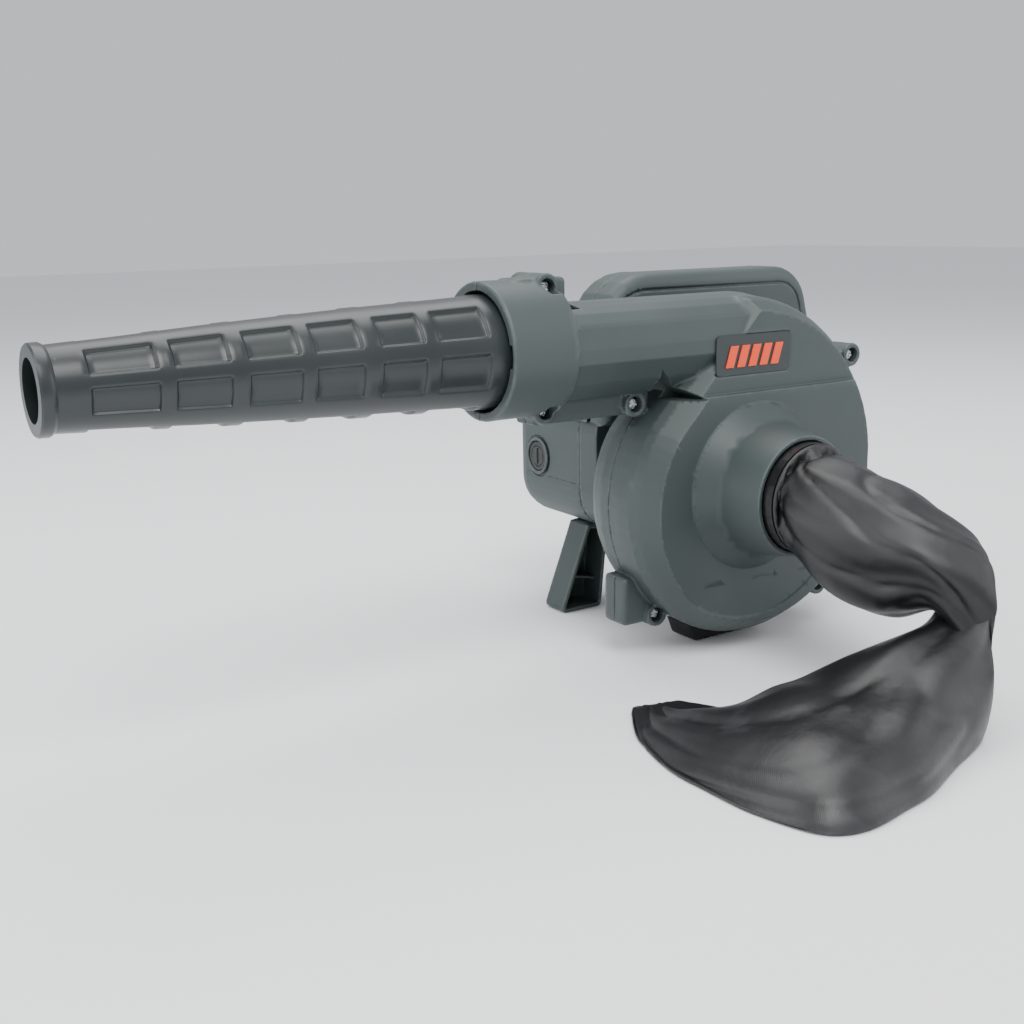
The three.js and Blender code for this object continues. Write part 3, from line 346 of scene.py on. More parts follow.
def bagNylon():  # satin woven nylon, patterned on the cloth's own map, with painted sheen: the weave painted lighter in scattered patches
    shader = Shader("bagNylon", Specular_IOR_Level=0.6)
    cloth = shader.node("ShaderNodeTexCoord", output="UV")
    across = shader.node("ShaderNodeTexWave", {"bands_direction": "X"},
                         {"Vector": cloth, "Scale": grainOf["weave"]})
    along = shader.node("ShaderNodeTexWave", {"bands_direction": "Y"},
                        {"Vector": cloth, "Scale": grainOf["weave"]})
    weave = across.maths("MAXIMUM", along)
    cloud = shader.grain(grainOf["dye"], 4)
    fine = shader.grain(grainOf["lint"], 5, 0.7)
    # painted sheen: a mask of scattered patches where the weave is painted lighter, standing in for
    # light catching the satin weave
    paintedSheenPatches = shader.ramp(shader.grain(grainOf["patch"], 3, 0.6), [(0.56, 0.0), (0.64, 1.0)])
    tone = shader.mix(shader.ramp(cloud, [(0.35, 0.0), (0.7, 1.0)]), shade(9, 10, 11),
                      shade(19, 20, 22))
    # painted highlight: the weave painted lighter inside the sheen patches
    tone = shader.mix(weave * paintedSheenPatches * 0.35, tone, shade(58, 61, 64))
    rough = cloud * 0.16 + fine * 0.1 + 0.24 + paintedSheenPatches * 0.12
    normal = shader.bump(weave, 0.3, 0.12 * mm)
    normal = shader.bump(shader.grain(grainOf["crease"], 4), 0.4, 1.2 * mm, normal)
    return shader.finish(Base_Color=tone, Roughness=rough, Normal=normal)


looks = {
    "casing": mouldedPlastic("casingPlastic", shade(48, 58, 57), shade(58, 68, 66), 0.50, 0.05, 0.5),
    "nozzle": mouldedPlastic("nozzlePlastic", shade(27, 33, 33), shade(37, 43, 43), 0.34, 0.03, 0.8),
    "black": mouldedPlastic("blackPlastic", shade(20, 22, 23), shade(30, 32, 33), 0.45, 0.05, 0.4),
    "impeller": mouldedPlastic("impellerPlastic", shade(34, 39, 43), shade(46, 50, 54), 0.42, 0.04),
    "badge": mouldedPlastic("badgeOrange", shade(236, 62, 6), shade(240, 74, 12), 0.42, 0.02, 0.1),
    "badgeField": mouldedPlastic("badgeField", shade(36, 44, 44), shade(42, 50, 50), 0.42, 0.03, 0.2),
    "carbon": mouldedPlastic("pressedCarbon", shade(34, 34, 35), shade(52, 52, 54), 0.6, 0.08, 0.2),
    "steel": metal("groundSteel", shade(186, 188, 190), 0.22, (1, 0.1, 1)),
    "zinc": metal("zincPlate", shade(200, 203, 206), 0.20),
    "copper": metal("barCopper", shade(184, 112, 66), 0.28, (1, 0.1, 1)),
    "brass": metal("rolledBrass", shade(200, 166, 92), 0.28),
    "sheet": stackedSheet(),
    "wire": woundWire(),
    "rubber": softRubber("footRubber", shade(20, 20, 21)),
    "nylon": bagNylon(),
    "floor": paleFloor(),
}
print("materials made:", len(looks))


# solids as distance fields: negative inside, in millimetres
def roundedBox(p, low, high, fillet=0.0):
    gaps = [np.abs(v - (a + b) / 2) - (b - a) / 2 + fillet for v, a, b in zip(p, low, high)]
    inside = np.minimum(np.maximum(gaps[0], np.maximum(gaps[1], gaps[2])), 0)
    outside = np.sqrt(sum(np.maximum(gap, 0) ** 2 for gap in gaps))
    return outside + inside - fillet


def discAlong(p, axis, centre, radius, start, end, fillet=0.0):
    others = [v for name, v in zip("xyz", p) if name != axis]
    along = p["xyz".index(axis)]
    around = np.sqrt((others[0] - centre[0]) ** 2 + (others[1] - centre[1]) ** 2) - radius + fillet
    ends = np.abs(along - (start + end) / 2) - abs(end - start) / 2 + fillet
    outside = np.sqrt(np.maximum(around, 0) ** 2 + np.maximum(ends, 0) ** 2)
    return outside + np.minimum(np.maximum(around, ends), 0) - fillet


def outline(u, v, corners):  # signed distance to a closed outline, negative inside
    nearest = None
    inside = None
    for (ax, ay), (bx, by) in zip(corners, [corners[-1], *corners[:-1]]):
        ex, ey = bx - ax, by - ay
        wx, wy = u - ax, v - ay
        along = np.clip((wx * ex + wy * ey) / (ex * ex + ey * ey), 0, 1)
        gap = (wx - ex * along) ** 2 + (wy - ey * along) ** 2
        over, under, leftOf = v >= ay, v < by, ex * wy > ey * wx
        flip = (over & under & leftOf) | (~over & ~under & ~leftOf)
        nearest = gap if nearest is None else np.minimum(nearest, gap)
        inside = flip if inside is None else inside ^ flip
    return np.where(inside, -1, 1) * np.sqrt(nearest)


def join(a, b, blend=0.0):
    if not blend:
        return np.minimum(a, b)
    share = np.clip(0.5 + 0.5 * (b - a) / blend, 0, 1)
    return b + (a - b) * share - blend * share * (1 - share)


def both(a, b, blend=0.0):
    return -join(-a, -b, blend)


def cut(a, b, blend=0.0):
    return both(a, -b, blend)


def putInScene(name, mesh, look):
    piece = bpy.data.objects.new(name, mesh)
    mesh.materials.append(looks[look])
    bpy.context.scene.collection.objects.link(piece)
    return piece


def markSurface(mesh, shape, places, reach=0.3, spread=0.9):  # true normals, and how sharp each edge is
    slopes, swell = [], -6 * shape(tuple(places))
    for axis in range(3):
        ahead, behind, far, farBack = (places.copy() for _ in range(4))
        ahead[axis] += reach
        behind[axis] -= reach
        far[axis] += spread
        farBack[axis] -= spread
        slopes.append(shape(tuple(ahead)) - shape(tuple(behind)))
        swell += shape(tuple(far)) + shape(tuple(farBack))
    normals = np.array(slopes).T
    normals /= np.maximum(np.linalg.norm(normals, axis=1, keepdims=True), 1e-9)
    mesh.normals_split_custom_set_from_vertices(normals.tolist())
    edge = mesh.attributes.new("edge", "FLOAT", "POINT")
    edge.data.foreach_set("value", np.clip(swell * 0.9 - 0.12, 0, 1).astype(np.float32))


def carve(name, shape, low, high, step, look, adaptivity=0.12):  # a mesh of a distance field's surface
    counts = [int(math.ceil((b - a) / step)) + 1 for a, b in zip(low, high)]
    spots = [(a + step * np.arange(n)).astype(np.float32) for a, n in zip(low, counts)]
    p = (spots[0][:, None, None], spots[1][None, :, None], spots[2][None, None, :])
    values = np.broadcast_to(shape(p), counts)
    grid = openvdb.FloatGrid(3 * step)
    grid.copyFromArray(np.ascontiguousarray(np.clip(values, -3 * step, 3 * step), dtype=np.float32),
                       tolerance=0)
    points, triangles, quads = grid.convertToPolygons(isovalue=0.0, adaptivity=adaptivity)
    points = points.astype(np.float64) * step + np.array(low)
    faces = [*triangles.tolist(), *quads.tolist()]
    mesh = bpy.data.meshes.new(name)
    mesh.from_pydata(((points + [0, 0, axisHeight]) * mm).tolist(), [], faces)
    mesh.validate()
    mesh.shade_smooth()
    markSurface(mesh, shape, points.T)
    print(name, "faces", len(faces))
    return putInScene(name, mesh, look)


casing = {
    "scrollStart": 72.0, "scrollEnd": 101.5, "tongue": 150.0, "outlet": 450, "angleStep": 6,
    "easing": 1.4,
    "wall": 2.5, "face": -35.0, "bandFace": -32.0, "bandLow": 51.5, "bandBox": (200, -60),
    "duct": (-120.0, 12.0), "ductLow": 54.0, "ductRise": 1.4, "seam": 0.16,
    "tonguePocket": [(-60, 67), (-35.5, 50), (-49.5, 49.5), (-57, 56)], "pocketDepth": (34, 24),
    "web": (-127, -54, 42.5, 58), "webDepth": 8, "lip": 2,
}
collar = {"radius": 34.2, "bore": 29.5, "back": -116.0, "fillet": 1.4, "throat": 24.5,
          "throatEnds": (-4, 22), "mouthOut": 9}
bayonet = {
    "starts": (math.pi, 0.0), "arm": 30, "entryHalf": 10, "entryShare": 0.68, "trackMiddle": 20,
    "trackHalf": 30,
    "trackIn": 14.4, "trackWidth": 2.8, "depth": 31.6,
}
shellBosses = {
    "at": [(-120, 111), (-122, 50), (-65, 48), (95, 62), (-50, -70), (74, -74)], "radius": 6.8,
    "front": -12.0, "back": 14.0,
    "ears": {0: ((-137, 98), (-107, 115.7)), 4: ((-71, -74), (-43, -47))}, "earDepth": 9.5,
    "earOver": 3, "ductFrom": -60,
    "armReach": 22, "armShare": 0.85, "armTaper": 0.012, "slabMiddle": 0.9, "slabHalf": 0.82,
    "headBore": (4.1, -20, -6.5), "screwBore": (2.2, -20, 3), "rearBore": (2.2, -3, 11.6),
}
inletNeck = {"inner": 20, "root": 45.6, "sunk": 3, "proud": 0.6, "waist": (36.6, -45.0), "mouth": 32,
             "edge": 0.5, "bore": (29.4, -90, -20)}
faceCrescent = {"depth": 0.7, "below": 52, "tilt": 0.02, "radius": 73.5}
badgeWell = {"left": -29.0, "right": 25.0, "low": 60.0, "high": 83.0, "front": -40, "floor": -30.9,
             "fillet": 2.5}
rearMount = {
    "ring": (40.8, 1.25), "ringAlong": (41, 9.8), "bearing": (15, 30, 43.3),
    "bearingBore": (11.3, 35, 60),
    "posts": (-27, 27), "post": (4.6, 29, 50.7), "postBore": (2.3, 36, 60), "shaftHole": (8.5, 20, 40),
}
frontSection = [(-80, 6), (-1.5, 6), (-1.5, 0), (-0.4, -10), (-0.2, -20), (-2.4, -25), (-9.5, -35),
                (-80, -35)]
rearSection = [(-80, -6), (-1.5, -6), (-1.5, 0), (-2.5, 9), (-5, 17), (-9, 24), (-15, 29.5), (-24, 32),
               (-80, 32)]
frontTop = [(-80, 6), (-0.6, 6), (-0.6, -6), (-2.4, -15), (-5.6, -22), (-11, -28.6), (-22, -31),
            (-80, -31)]
rearTop = [(-80, -6), (-0.6, -6), (-0.6, 6), (-2.4, 15), (-6, 22), (-12, 28), (-22, 31), (-80, 31)]
frontUnder = [(-80, 6), (-0.3, 6), (-0.3, -13), (-8.5, -24.5), (-19.5, -31), (-80, -31)]
rearUnder = [(-80, -6), (-0.3, -6), (-0.3, 12), (-6, 24), (-14, 31), (-80, 31)]


def scrollRadius(angle):
    done = (angle - casing["tongue"]) / (casing["outlet"] - casing["tongue"])
    growth = casing["scrollEnd"] - casing["scrollStart"]
    return casing["scrollStart"] + growth * (1 - (1 - done) ** casing["easing"])


def scrollOutline():
    corners = []
    for angle in np.arange(casing["tongue"], casing["outlet"] + 0.1, casing["angleStep"]):
        radius, turn = scrollRadius(min(angle, casing["outlet"])), math.radians(angle)
        corners.append((radius * math.cos(turn), radius * math.sin(turn)))
    return corners


scrollShape = scrollOutline()


def casingBody(p, front):
    x, y, z = p
    scroll = outline(outline(x, z, scrollShape), y, frontSection if front else rearSection)
    top = outline(z - casing["scrollEnd"] - casing["ductRise"], y, frontTop if front else rearTop)
    under = outline(casing["ductLow"] - z, y, frontUnder if front else rearUnder)
    left, right = casing["duct"]
    ends = np.abs(x - (left + right) / 2) - (right - left) / 2
    duct = both(both(top, under), ends)
    if front:
        reach, proud = casing["bandBox"]
        overBand = roundedBox(p, (-reach, proud, casing["bandLow"]), (reach, casing["bandFace"], reach))
        scroll = cut(scroll, overBand, blend=0.5)
    body = join(scroll, duct, blend=2.0)
    if front:
        pocket = outline(x, z, casing["tonguePocket"])
        forward, half = casing["pocketDepth"]
        body = cut(body, both(pocket, np.abs(y + forward) - half), blend=0.5)
    return body


def bossEar(p, corners, front):
    depth, over = shellBosses["earDepth"], shellBosses["earOver"]
    near, far = (-depth, over) if front else (-over, depth)
    (lowX, lowZ), (highX, highZ) = corners
    return roundedBox(p, (lowX, near, lowZ), (highX, far, highZ), fillet=2.6)


def bossArm(p, bx, bz, start, end):  # a web from a boss to the scroll or the duct
    x, y, z = p
    dx, dz = (0, nozzleLift - bz) if bx < shellBosses["ductFrom"] else (-bx, -bz)
    length = math.hypot(dx, dz)
    dx, dz = dx / length, dz / length
    along = np.clip((x - bx) * dx + (z - bz) * dz, 0, shellBosses["armReach"])
    width = shellBosses["radius"] * (shellBosses["armShare"] + along * shellBosses["armTaper"])
    arm = np.sqrt((x - bx - dx * along) ** 2 + (z - bz - dz * along) ** 2) - width
    slab = np.abs(y - (start + end) / 2 * shellBosses["slabMiddle"]) - abs(end
            - start) / 2 * shellBosses["slabHalf"]
    return both(arm, slab, blend=1.0)


def bossShape(p, front):
    start, end = (shellBosses["front"], 0) if front else (0, shellBosses["back"])
    total = None
    for index, (bx, bz) in enumerate(shellBosses["at"]):
        boss = discAlong(p, "y", (bx, bz), shellBosses["radius"], start, end, fillet=0.8)
        corners = shellBosses["ears"].get(index)
        if corners:
            boss = join(boss, bossEar(p, corners, front), blend=1.5)
        else:
            boss = join(boss, bossArm(p, bx, bz, start, end), blend=1.2)
        total = boss if total is None else join(total, boss)
    return total


def webPlate(p, front):
    left, right, under, over = casing["web"]
    near, far = (-casing["webDepth"], 0) if front else (0, casing["webDepth"])
    return roundedBox(p, (left, near, under), (right, far, over), fillet=1.0)


def collarShape(p):
    return discAlong(p, "x", (0, nozzleLift), collar["radius"], collarFront, collar["back"],
                     collar["fillet"])


def turnedFrom(turn, start):  # the angle from a start, between minus and plus half a turn
    return (turn - start + math.pi) % (2 * math.pi) - math.pi


def aroundNozzle(p):
    x, y, z = p
    return np.arctan2(z - nozzleLift, y), np.sqrt(y * y + (z - nozzleLift) ** 2)


def collarBore(p):
    centre = (0, nozzleLift)
    bore = discAlong(p, "x", centre, collar["bore"], collarFront - collar["mouthOut"], nozzleRoot + 1)
    back, ahead = collar["throatEnds"]
    bore = join(bore,
                discAlong(p, "x", centre, collar["throat"], nozzleRoot + back, nozzleRoot + ahead))
    along = p[0] - collarFront
    turn, around = aroundNozzle(p)
    arm = bayonet["arm"]
    for start in bayonet["starts"]:  # bayonet entries, with a track that runs on from each
        off = turnedFrom(turn, start)
        entry = np.maximum(np.abs(off) - math.radians(bayonet["entryHalf"]),
                           np.abs(along) / arm - bayonet["entryShare"]) * arm
        trackTurn = np.abs(off
                           - math.radians(bayonet["trackMiddle"])) - math.radians(bayonet["trackHalf"])
        track = np.maximum(trackTurn * arm, np.abs(along - bayonet["trackIn"]) - bayonet["trackWidth"])
        bore = join(bore, np.maximum(np.minimum(entry, track), around - bayonet["depth"]))
    return bore


def neckShape(p):
    x, y, z = p
    neck = inletNeck
    face, root, inner, edge = casing["face"], neck["root"], neck["inner"], neck["edge"]
    profile = [(inner, face + neck["sunk"]), (root, face + neck["sunk"]), (root, face - neck["proud"]),
               neck["waist"],
               (neck["mouth"], inletFront), (inner, inletFront)]
    shrunk = [(r - (edge if r > inner else 0), d + (edge if d == inletFront else 0)) for r,
              d in profile]
    return outline(np.sqrt(x * x + z * z), y, shrunk) - edge


def frontShape(p):
    x, y, z = p
    around = np.sqrt(x * x + z * z)
    body = casingBody(p, True)
    skin = join(body, collarShape(p), blend=2.0)
    low = both(z + faceCrescent["below"] + x * faceCrescent["tilt"], around - faceCrescent["radius"],
               blend=0.5)
    skin = cut(skin, both(np.abs(y - casing["face"]) - faceCrescent["depth"], low, blend=0.5),
               blend=0.7)
    well = roundedBox(p, (badgeWell["left"], badgeWell["front"], badgeWell["low"]),
                      (badgeWell["right"], badgeWell["floor"], badgeWell["high"]), badgeWell["fillet"])
    skin = cut(skin, well, blend=0.4)
    hollow = body + casing["wall"]
    skin = cut(skin, hollow)
    skin = join(skin, join(webPlate(p, True), bossShape(p, True), blend=1.5), blend=1.5)
    skin = cut(skin, both(hollow, y + casing["lip"]))
    skin = join(skin, neckShape(p), blend=0.8)
    skin = cut(skin, discAlong(p, "y", (0, 0), *inletNeck["bore"]), blend=0.6)
    skin = cut(skin, collarBore(p), blend=0.6)
    for spot in shellBosses["at"]:
        skin = cut(skin, discAlong(p, "y", spot, *shellBosses["headBore"]), blend=0.5)
        skin = cut(skin, discAlong(p, "y", spot, *shellBosses["screwBore"]))
    return both(skin, y + casing["seam"], blend=0.3)


def rearShape(p):
    x, y, z = p
    around = np.sqrt(x * x + z * z)
    body = casingBody(p, False)
    skin = join(body, collarShape(p), blend=2.0)
    hollow = body + casing["wall"]
    skin = cut(skin, hollow)
    skin = join(skin, join(webPlate(p, False), bossShape(p, False), blend=1.5), blend=1.5)
    skin = cut(skin, both(hollow, -y + casing["lip"]))
    (ringRadius, ringHalf), (ringMiddle, ringReach) = rearMount["ring"], rearMount["ringAlong"]
    ring = both(np.abs(around - ringRadius) - ringHalf, np.abs(y - ringMiddle) - ringReach, blend=0.3)
    boss = cut(discAlong(p, "y", (0, 0), *rearMount["bearing"], 0.8),
               discAlong(p, "y", (0, 0), *rearMount["bearingBore"]))
    skin = join(skin, join(ring, boss), blend=1.2)
    for bx in rearMount["posts"]:
        for bz in rearMount["posts"]:
            skin = join(skin, discAlong(p, "y", (bx, bz), *rearMount["post"]), blend=0.8)
            skin = cut(skin, discAlong(p, "y", (bx, bz), *rearMount["postBore"]))
    skin = cut(skin, discAlong(p, "y", (0, 0), *rearMount["shaftHole"]))
    skin = cut(skin, collarBore(p), blend=0.6)
    for spot in shellBosses["at"]:
        skin = cut(skin, discAlong(p, "y", spot, *shellBosses["rearBore"]))
    return both(skin, casing["seam"] - y, blend=0.3)


fine = 0.7


def own(piece, body, slot, *nodes):
    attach(piece, body)
    if nodes:
        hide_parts(*nodes)


def boundsOf(node, spare=3.0):
    low, high = edges(node)
    return ([low[0] - spare, low[1] - spare, low[2] - axisHeight - spare],
            [high[0] + spare, high[1] + spare, high[2] - axisHeight + spare])


own(carve("frontShell", frontShape, *boundsOf("front_volute_shell"), fine, "casing"), "casing",
    "casing_plastic", "front_volute_shell")
own(carve("rearShell", rearShape, *boundsOf("rear_volute_shell"), fine, "casing"), "casing",
    "casing_plastic", "rear_volute_shell")


# five plain slanted bars on the badge
badgeMark = {
    "left": -22.0, "right": 19.0, "low": 65.0, "high": 76.5, "bars": 5, "gap": 2.4, "slant": 3.6,
    "half": 0.35,
    "sunk": 0.36, "spare": 2, "step": 0.25,
}
badgeFace = edges("badge_plate")[0][1]


def badgeBars(p):
    x, y, z = p
    mark = badgeMark
    width = (mark["right"] - mark["left"] - mark["slant"] + mark["gap"]) / mark["bars"]
    total = None
    for index in range(mark["bars"]):
        left = mark["left"] + index * width
        right = left + width - mark["gap"]
        corners = [(left, mark["low"]), (right, mark["low"]), (right + mark["slant"], mark["high"]),
                   (left + mark["slant"], mark["high"])]
        bar = outline(x, z, corners)
        total = bar if total is None else join(total, bar)
    return both(total, np.abs(y - (badgeFace - mark["sunk"])) - mark["half"], blend=0.2)


barsLow = [badgeMark["left"] - badgeMark["spare"], badgeFace - 1.2,
           badgeMark["low"] - badgeMark["spare"]]
barsHigh = [badgeMark["right"] + badgeMark["spare"], badgeFace + 1,
            badgeMark["high"] + badgeMark["spare"]]
own(carve("badgeBars", badgeBars, barsLow, barsHigh, badgeMark["step"], "badge"), "casing", "badge")
print("casing and badge made")


# the nozzle is a turned skin with rows of recesses, made by rule
nozzleShape = {
    "skin": [(nozzleTip, 13.5), (nozzleTip, 18.6), (nozzleTip + 0.8, 19.3), (nozzleTip + 4.6, 19.4),
             (nozzleTip + 5.6, 18.9), (nozzleTip + 6.6, 18.1), (-327, 19.7), (-293, 21.9), (-258, 23.7),
             (-222, 25.4), (-180, 26.9), (plugFace - 1, 28), (nozzleRoot - 0.6, 28),
             (nozzleRoot, 27.4)],
    "bore": [(nozzleRoot, 25.9), (nozzleRoot - 0.6, 25.6), (plugFace, 25.6), (nozzleTip + 12, 15.6),
             (nozzleTip + 1, 13.6)],
    "windows": [(-343, -316), (-309, -286), (-278, -255), (-248, -226), (-217, -195.5), (-188, -162)],
    "rows": [(-31.5, 3.5), (21.5, 56.5)], "repeats": 3,
    "depth": 1.7, "bank": 0.7, "sideBank": 1.7, "firstAngle": -40, "boreRings": 26,
}


def spaced(marks, start, end, gap, bank):  # samples that crowd round each mark
    values = {start, end}
    for mark in marks:
        values.update(mark + bank * share for share in (-1.2, -0.6, -0.3, 0, 0.3, 0.6, 1.2))
    ordered = sorted(v for v in values if start <= v <= end)
    filled = [ordered[0]]
    for value in ordered[1:]:
        steps = max(1, math.ceil((value - filled[-1]) / gap))
        begin = filled[-1]
        filled += [begin + (value - begin) * (i + 1) / steps for i in range(steps)]
    return filled


def nozzleGrid():
    shape = nozzleShape
    marks = [edge for window in shape["windows"] for edge in window]
    skinX, skinR = zip(*shape["skin"][5:12])
    profile = [(x, r, 1.0) for x, r in shape["skin"][:6]]
    for x in spaced(marks, skinX[0] + 0.3, skinX[-1], 2.5, shape["bank"]):
        profile.append((x, float(np.interp(x, skinX, skinR)), 1.0))
    profile += [(x, r, 0.0) for x, r in shape["skin"][12:]]
    boreX, boreR = zip(*shape["bore"][:1:-1])
    profile += [(x, r, 0.0) for x, r in shape["bore"][:3]]
    profile += [(x, float(np.interp(x, boreX, boreR)), 0.0)
                for x in np.linspace(plugFace - 8, nozzleTip + 6, shape["boreRings"])]
    profile += [(nozzleTip + 1.2, 13.7, 0.0)]
    turns = [k * 360 / shape["repeats"] for k in range(shape["repeats"])]
    angles = spaced([turn + edge for turn in turns for row in shape["rows"] for edge in row],
                    shape["firstAngle"], shape["firstAngle"] + 360, 3, shape["sideBank"])[:-1]
    count = len(angles)
    faces = []
    rings = len(profile)
    for i in range(rings):
        for j in range(count):
            ahead, beside = (i + 1) % rings, (j + 1) % count
            faces.append((i * count + j, i * count + beside, ahead * count + beside, ahead * count + j))
    mesh = bpy.data.meshes.new("nozzleSkin")
    mesh.from_pydata([(x, a, 0) for x, r, o in profile for a in angles], [], faces)
    for label, values in (("skinRadius", [r for x, r, o in profile for a in angles]),
                          ("outside", [o for x, r, o in profile for a in angles])):
        mesh.attributes.new(label, "FLOAT", "POINT").data.foreach_set("value", values)
    mesh.shade_smooth()
    source = bpy.data.objects.new("nozzleSkin", mesh)
    bpy.context.scene.collection.objects.link(source)
    return source


def nozzleRecipe():
    shape = nozzleShape
    recipe = Recipe("nozzleRecesses", Depth=shape["depth"], Bank=shape["bank"],
                    Lift=nozzleLift + axisHeight)
    split = {name: recipe.node("ShaderNodeSeparateXYZ", {},
                               {0: recipe.node("GeometryNodeInputPosition")}, output=name)
             for name in "XY"}
    along, around = split["X"], split["Y"]

    def bank(value, edge, width):
        inputs = {"Value": value, "From Min": edge - width, "From Max": edge + width}
        return recipe.node("ShaderNodeMapRange", {"interpolation_type": "SMOOTHSTEP"}, inputs)

    lengthways = sum(bank(along, start, shape["bank"]) - bank(along, end, shape["bank"]) for start,
                     end in shape["windows"])
    turns = [k * 360 / shape["repeats"] for k in range(shape["repeats"])]
    sideways = sum(bank(around, turn + low, shape["sideBank"])
                   - bank(around, turn + high, shape["sideBank"]) for turn in turns for low,
                   high in shape["rows"])
    sunk = lengthways * sideways * recipe.named("outside")
    radius = recipe.named("skinRadius") - sunk * recipe.number("Depth")
    angle = around * math.radians(1)
    place = recipe.node("ShaderNodeCombineXYZ", {}, {
        0: along * mm, 1: angle.maths("COSINE") * radius * -mm,
        2: (angle.maths("SINE") * radius + recipe.number("Lift")) * mm})
    moved = recipe.node("GeometryNodeSetPosition", {}, {"Geometry": recipe.start, "Position": place})
    return recipe.make(moved, nozzleGrid(), "nozzle")


def faceOut(piece):
    shape = bmesh.new()
    shape.from_mesh(piece.data)
    bmesh.ops.remove_doubles(shape, verts=shape.verts, dist=0.00002)
    bmesh.ops.recalc_face_normals(shape, faces=shape.faces)
    if shape.calc_volume(signed=True) < 0:
        bmesh.ops.reverse_faces(shape, faces=shape.faces)
    for face in shape.faces:
        face.smooth = True
    sharp = math.radians(38)
    for edge in shape.edges:
        edge.smooth = len(edge.link_faces) == 2 and edge.calc_face_angle(0) < sharp
    shape.to_mesh(piece.data)
    shape.free()


nozzlePiece = nozzleRecipe()
faceOut(nozzlePiece)
own(nozzlePiece, "nozzle", "nozzle_plastic", "nozzle")


bayonetLugs = {"degrees": (220, 40), "arm": 30, "half": 4, "middle": 29.5, "high": 1.6, "in": 15.2,
               "wide": 1.7}


def nozzleLugs(p):
    turn, around = aroundNozzle(p)
    lugs = bayonetLugs
    along = np.abs(p[0] - collarFront - lugs["in"]) - lugs["wide"]
    total = None
    for degrees in lugs["degrees"]:
        off = turnedFrom(turn, math.radians(degrees))
        lug = both(np.abs(off) * lugs["arm"] - lugs["half"],
                   both(np.abs(around - lugs["middle"]) - lugs["high"], along), blend=0.3)
        total = lug if total is None else join(total, lug)
    return total


handle = {
    "near": 42.0, "far": 78.0, "middle": 60.0, "round": 8.0, "wall": 2.6,
    "outer": [(-45, 26, 1), (-49, 112, 34), (108, 112, 26), (128, 40, 20), (128, -12, 22),
              (45.4, -12, 2), (45.4, 22, 2),
              (93, 22, 12), (90, 84, 16), (-14, 84, 18), (-17, 26, 1)],
    "skirt": [(-60, -60, 1), (-49, 112, 34), (108, 112, 26), (128, 40, 20), (128, -60, 1)],
    "screws": [(-38, 48.5), (53, 5), (58, 98), (114, 38)], "triggerGap": (-1.6, 33.6),
    "lock": (44, 98, 5.3),
    "dial": (106, 58, 9.3), "gland": (9, 7.3), "grooveIn": 9.5, "groove": (0.55, 1.0),
    "grooveAbove": 60,
    "tube": 4.6, "screwBore": 2.3, "headBore": (4.2, 4), "triggerSlot": ((52.4, 70), (67.6, 90)),
    "past": 84,
    "lockFloor": 72, "dialFloor": 76.6, "dialShaft": (3.3, 70), "glandAlong": (122, 132), "seam": 0.15,
    "tabs": (((-44.3, 54.7, 30), (-31.7, 65.3, 54.3)), ((40, 54.7, -3.3), (60.3, 65.3, 13.3))),
}


def roundCorners(corners, steps=6):
    points = []
    for index, (x, z, radius) in enumerate(corners):
        at = Vector((x, z))
        back = (Vector(corners[index - 1][:2]) - at)
        on = (Vector(corners[(index + 1) % len(corners)][:2]) - at)
        half = back.angle(on) / 2
        reach = min(radius / math.tan(half), back.length * 0.49, on.length * 0.49)
        first, last = at + back.normalized() * reach, at + on.normalized() * reach
        centre = at + (back.normalized() + on.normalized()).normalized() * (reach / math.cos(half))
        for step in range(steps + 1):
            blend = step / steps
            spoke = (first - centre).slerp(last - centre, blend) * (first - centre).length
            points.append(tuple(centre + spoke))
    return points


handleEdge = roundCorners(handle["outer"])
handleSkirt = roundCorners(handle["skirt"])


def thicken(flat, y, start, end, fillet):
    across = np.abs(y - (start + end) / 2) - (end - start) / 2 + fillet
    inward = flat + fillet
    return np.sqrt(np.maximum(inward, 0) ** 2
                   + np.maximum(across, 0) ** 2) + np.minimum(np.maximum(inward, across), 0) - fillet


def handleShape(p, near):
    x, y, z = p
    front, back, past = handle["near"], handle["far"], handle["past"]
    flat = outline(x, z, handleEdge)
    body = thicken(flat, y, front, back, handle["round"])
    half, deep = handle["groove"]
    groove = both(np.abs(outline(x, z, handleSkirt) + handle["grooveIn"]) - half,
                  np.abs(y - front) - deep)
    body = cut(body, both(groove, handle["grooveAbove"] - z), blend=0.5)
    shell = cut(body, body + handle["wall"])
    headRadius, headDepth = handle["headBore"]
    for spot in handle["screws"]:
        tube = discAlong(p, "y", spot, handle["tube"], front + 1, back - 1)
        shell = join(shell, both(tube, body + 0.5), blend=0.6)
        shell = cut(shell, discAlong(p, "y", spot, handle["screwBore"], front + 3, back + 2))
        shell = cut(shell, discAlong(p, "y", spot, headRadius, back - headDepth, back + 2), blend=0.3)
    left, right = handle["triggerGap"]
    slotLow, slotHigh = handle["triggerSlot"]
    shell = cut(shell, roundedBox(p, (left, *slotLow), (right, *slotHigh), 0.5), blend=0.3)
    lockX, lockZ, lockR = handle["lock"]
    shell = cut(shell, discAlong(p, "y", (lockX, lockZ), lockR, handle["lockFloor"], past), blend=0.3)
    dialX, dialZ, dialR = handle["dial"]
    shell = cut(shell, discAlong(p, "y", (dialX, dialZ), dialR, handle["dialFloor"], past), blend=0.3)
    shaftR, shaftFrom = handle["dialShaft"]
    shell = cut(shell, discAlong(p, "y", (dialX, dialZ), shaftR, shaftFrom, past))
    glandZ, glandR = handle["gland"]
    shell = cut(shell, discAlong(p, "x", (handle["middle"], glandZ), glandR, *handle["glandAlong"]))
    firstTab, secondTab = handle["tabs"]
    shell = cut(shell, join(roundedBox(p, *firstTab), roundedBox(p, *secondTab)))
    shell = cut(shell, housingBlock(p) - 0.3)
    seam = handle["seam"]
    side = y - (handle["middle"] - seam) if near else (handle["middle"] + seam) - y
    return both(shell, side, blend=0.3)


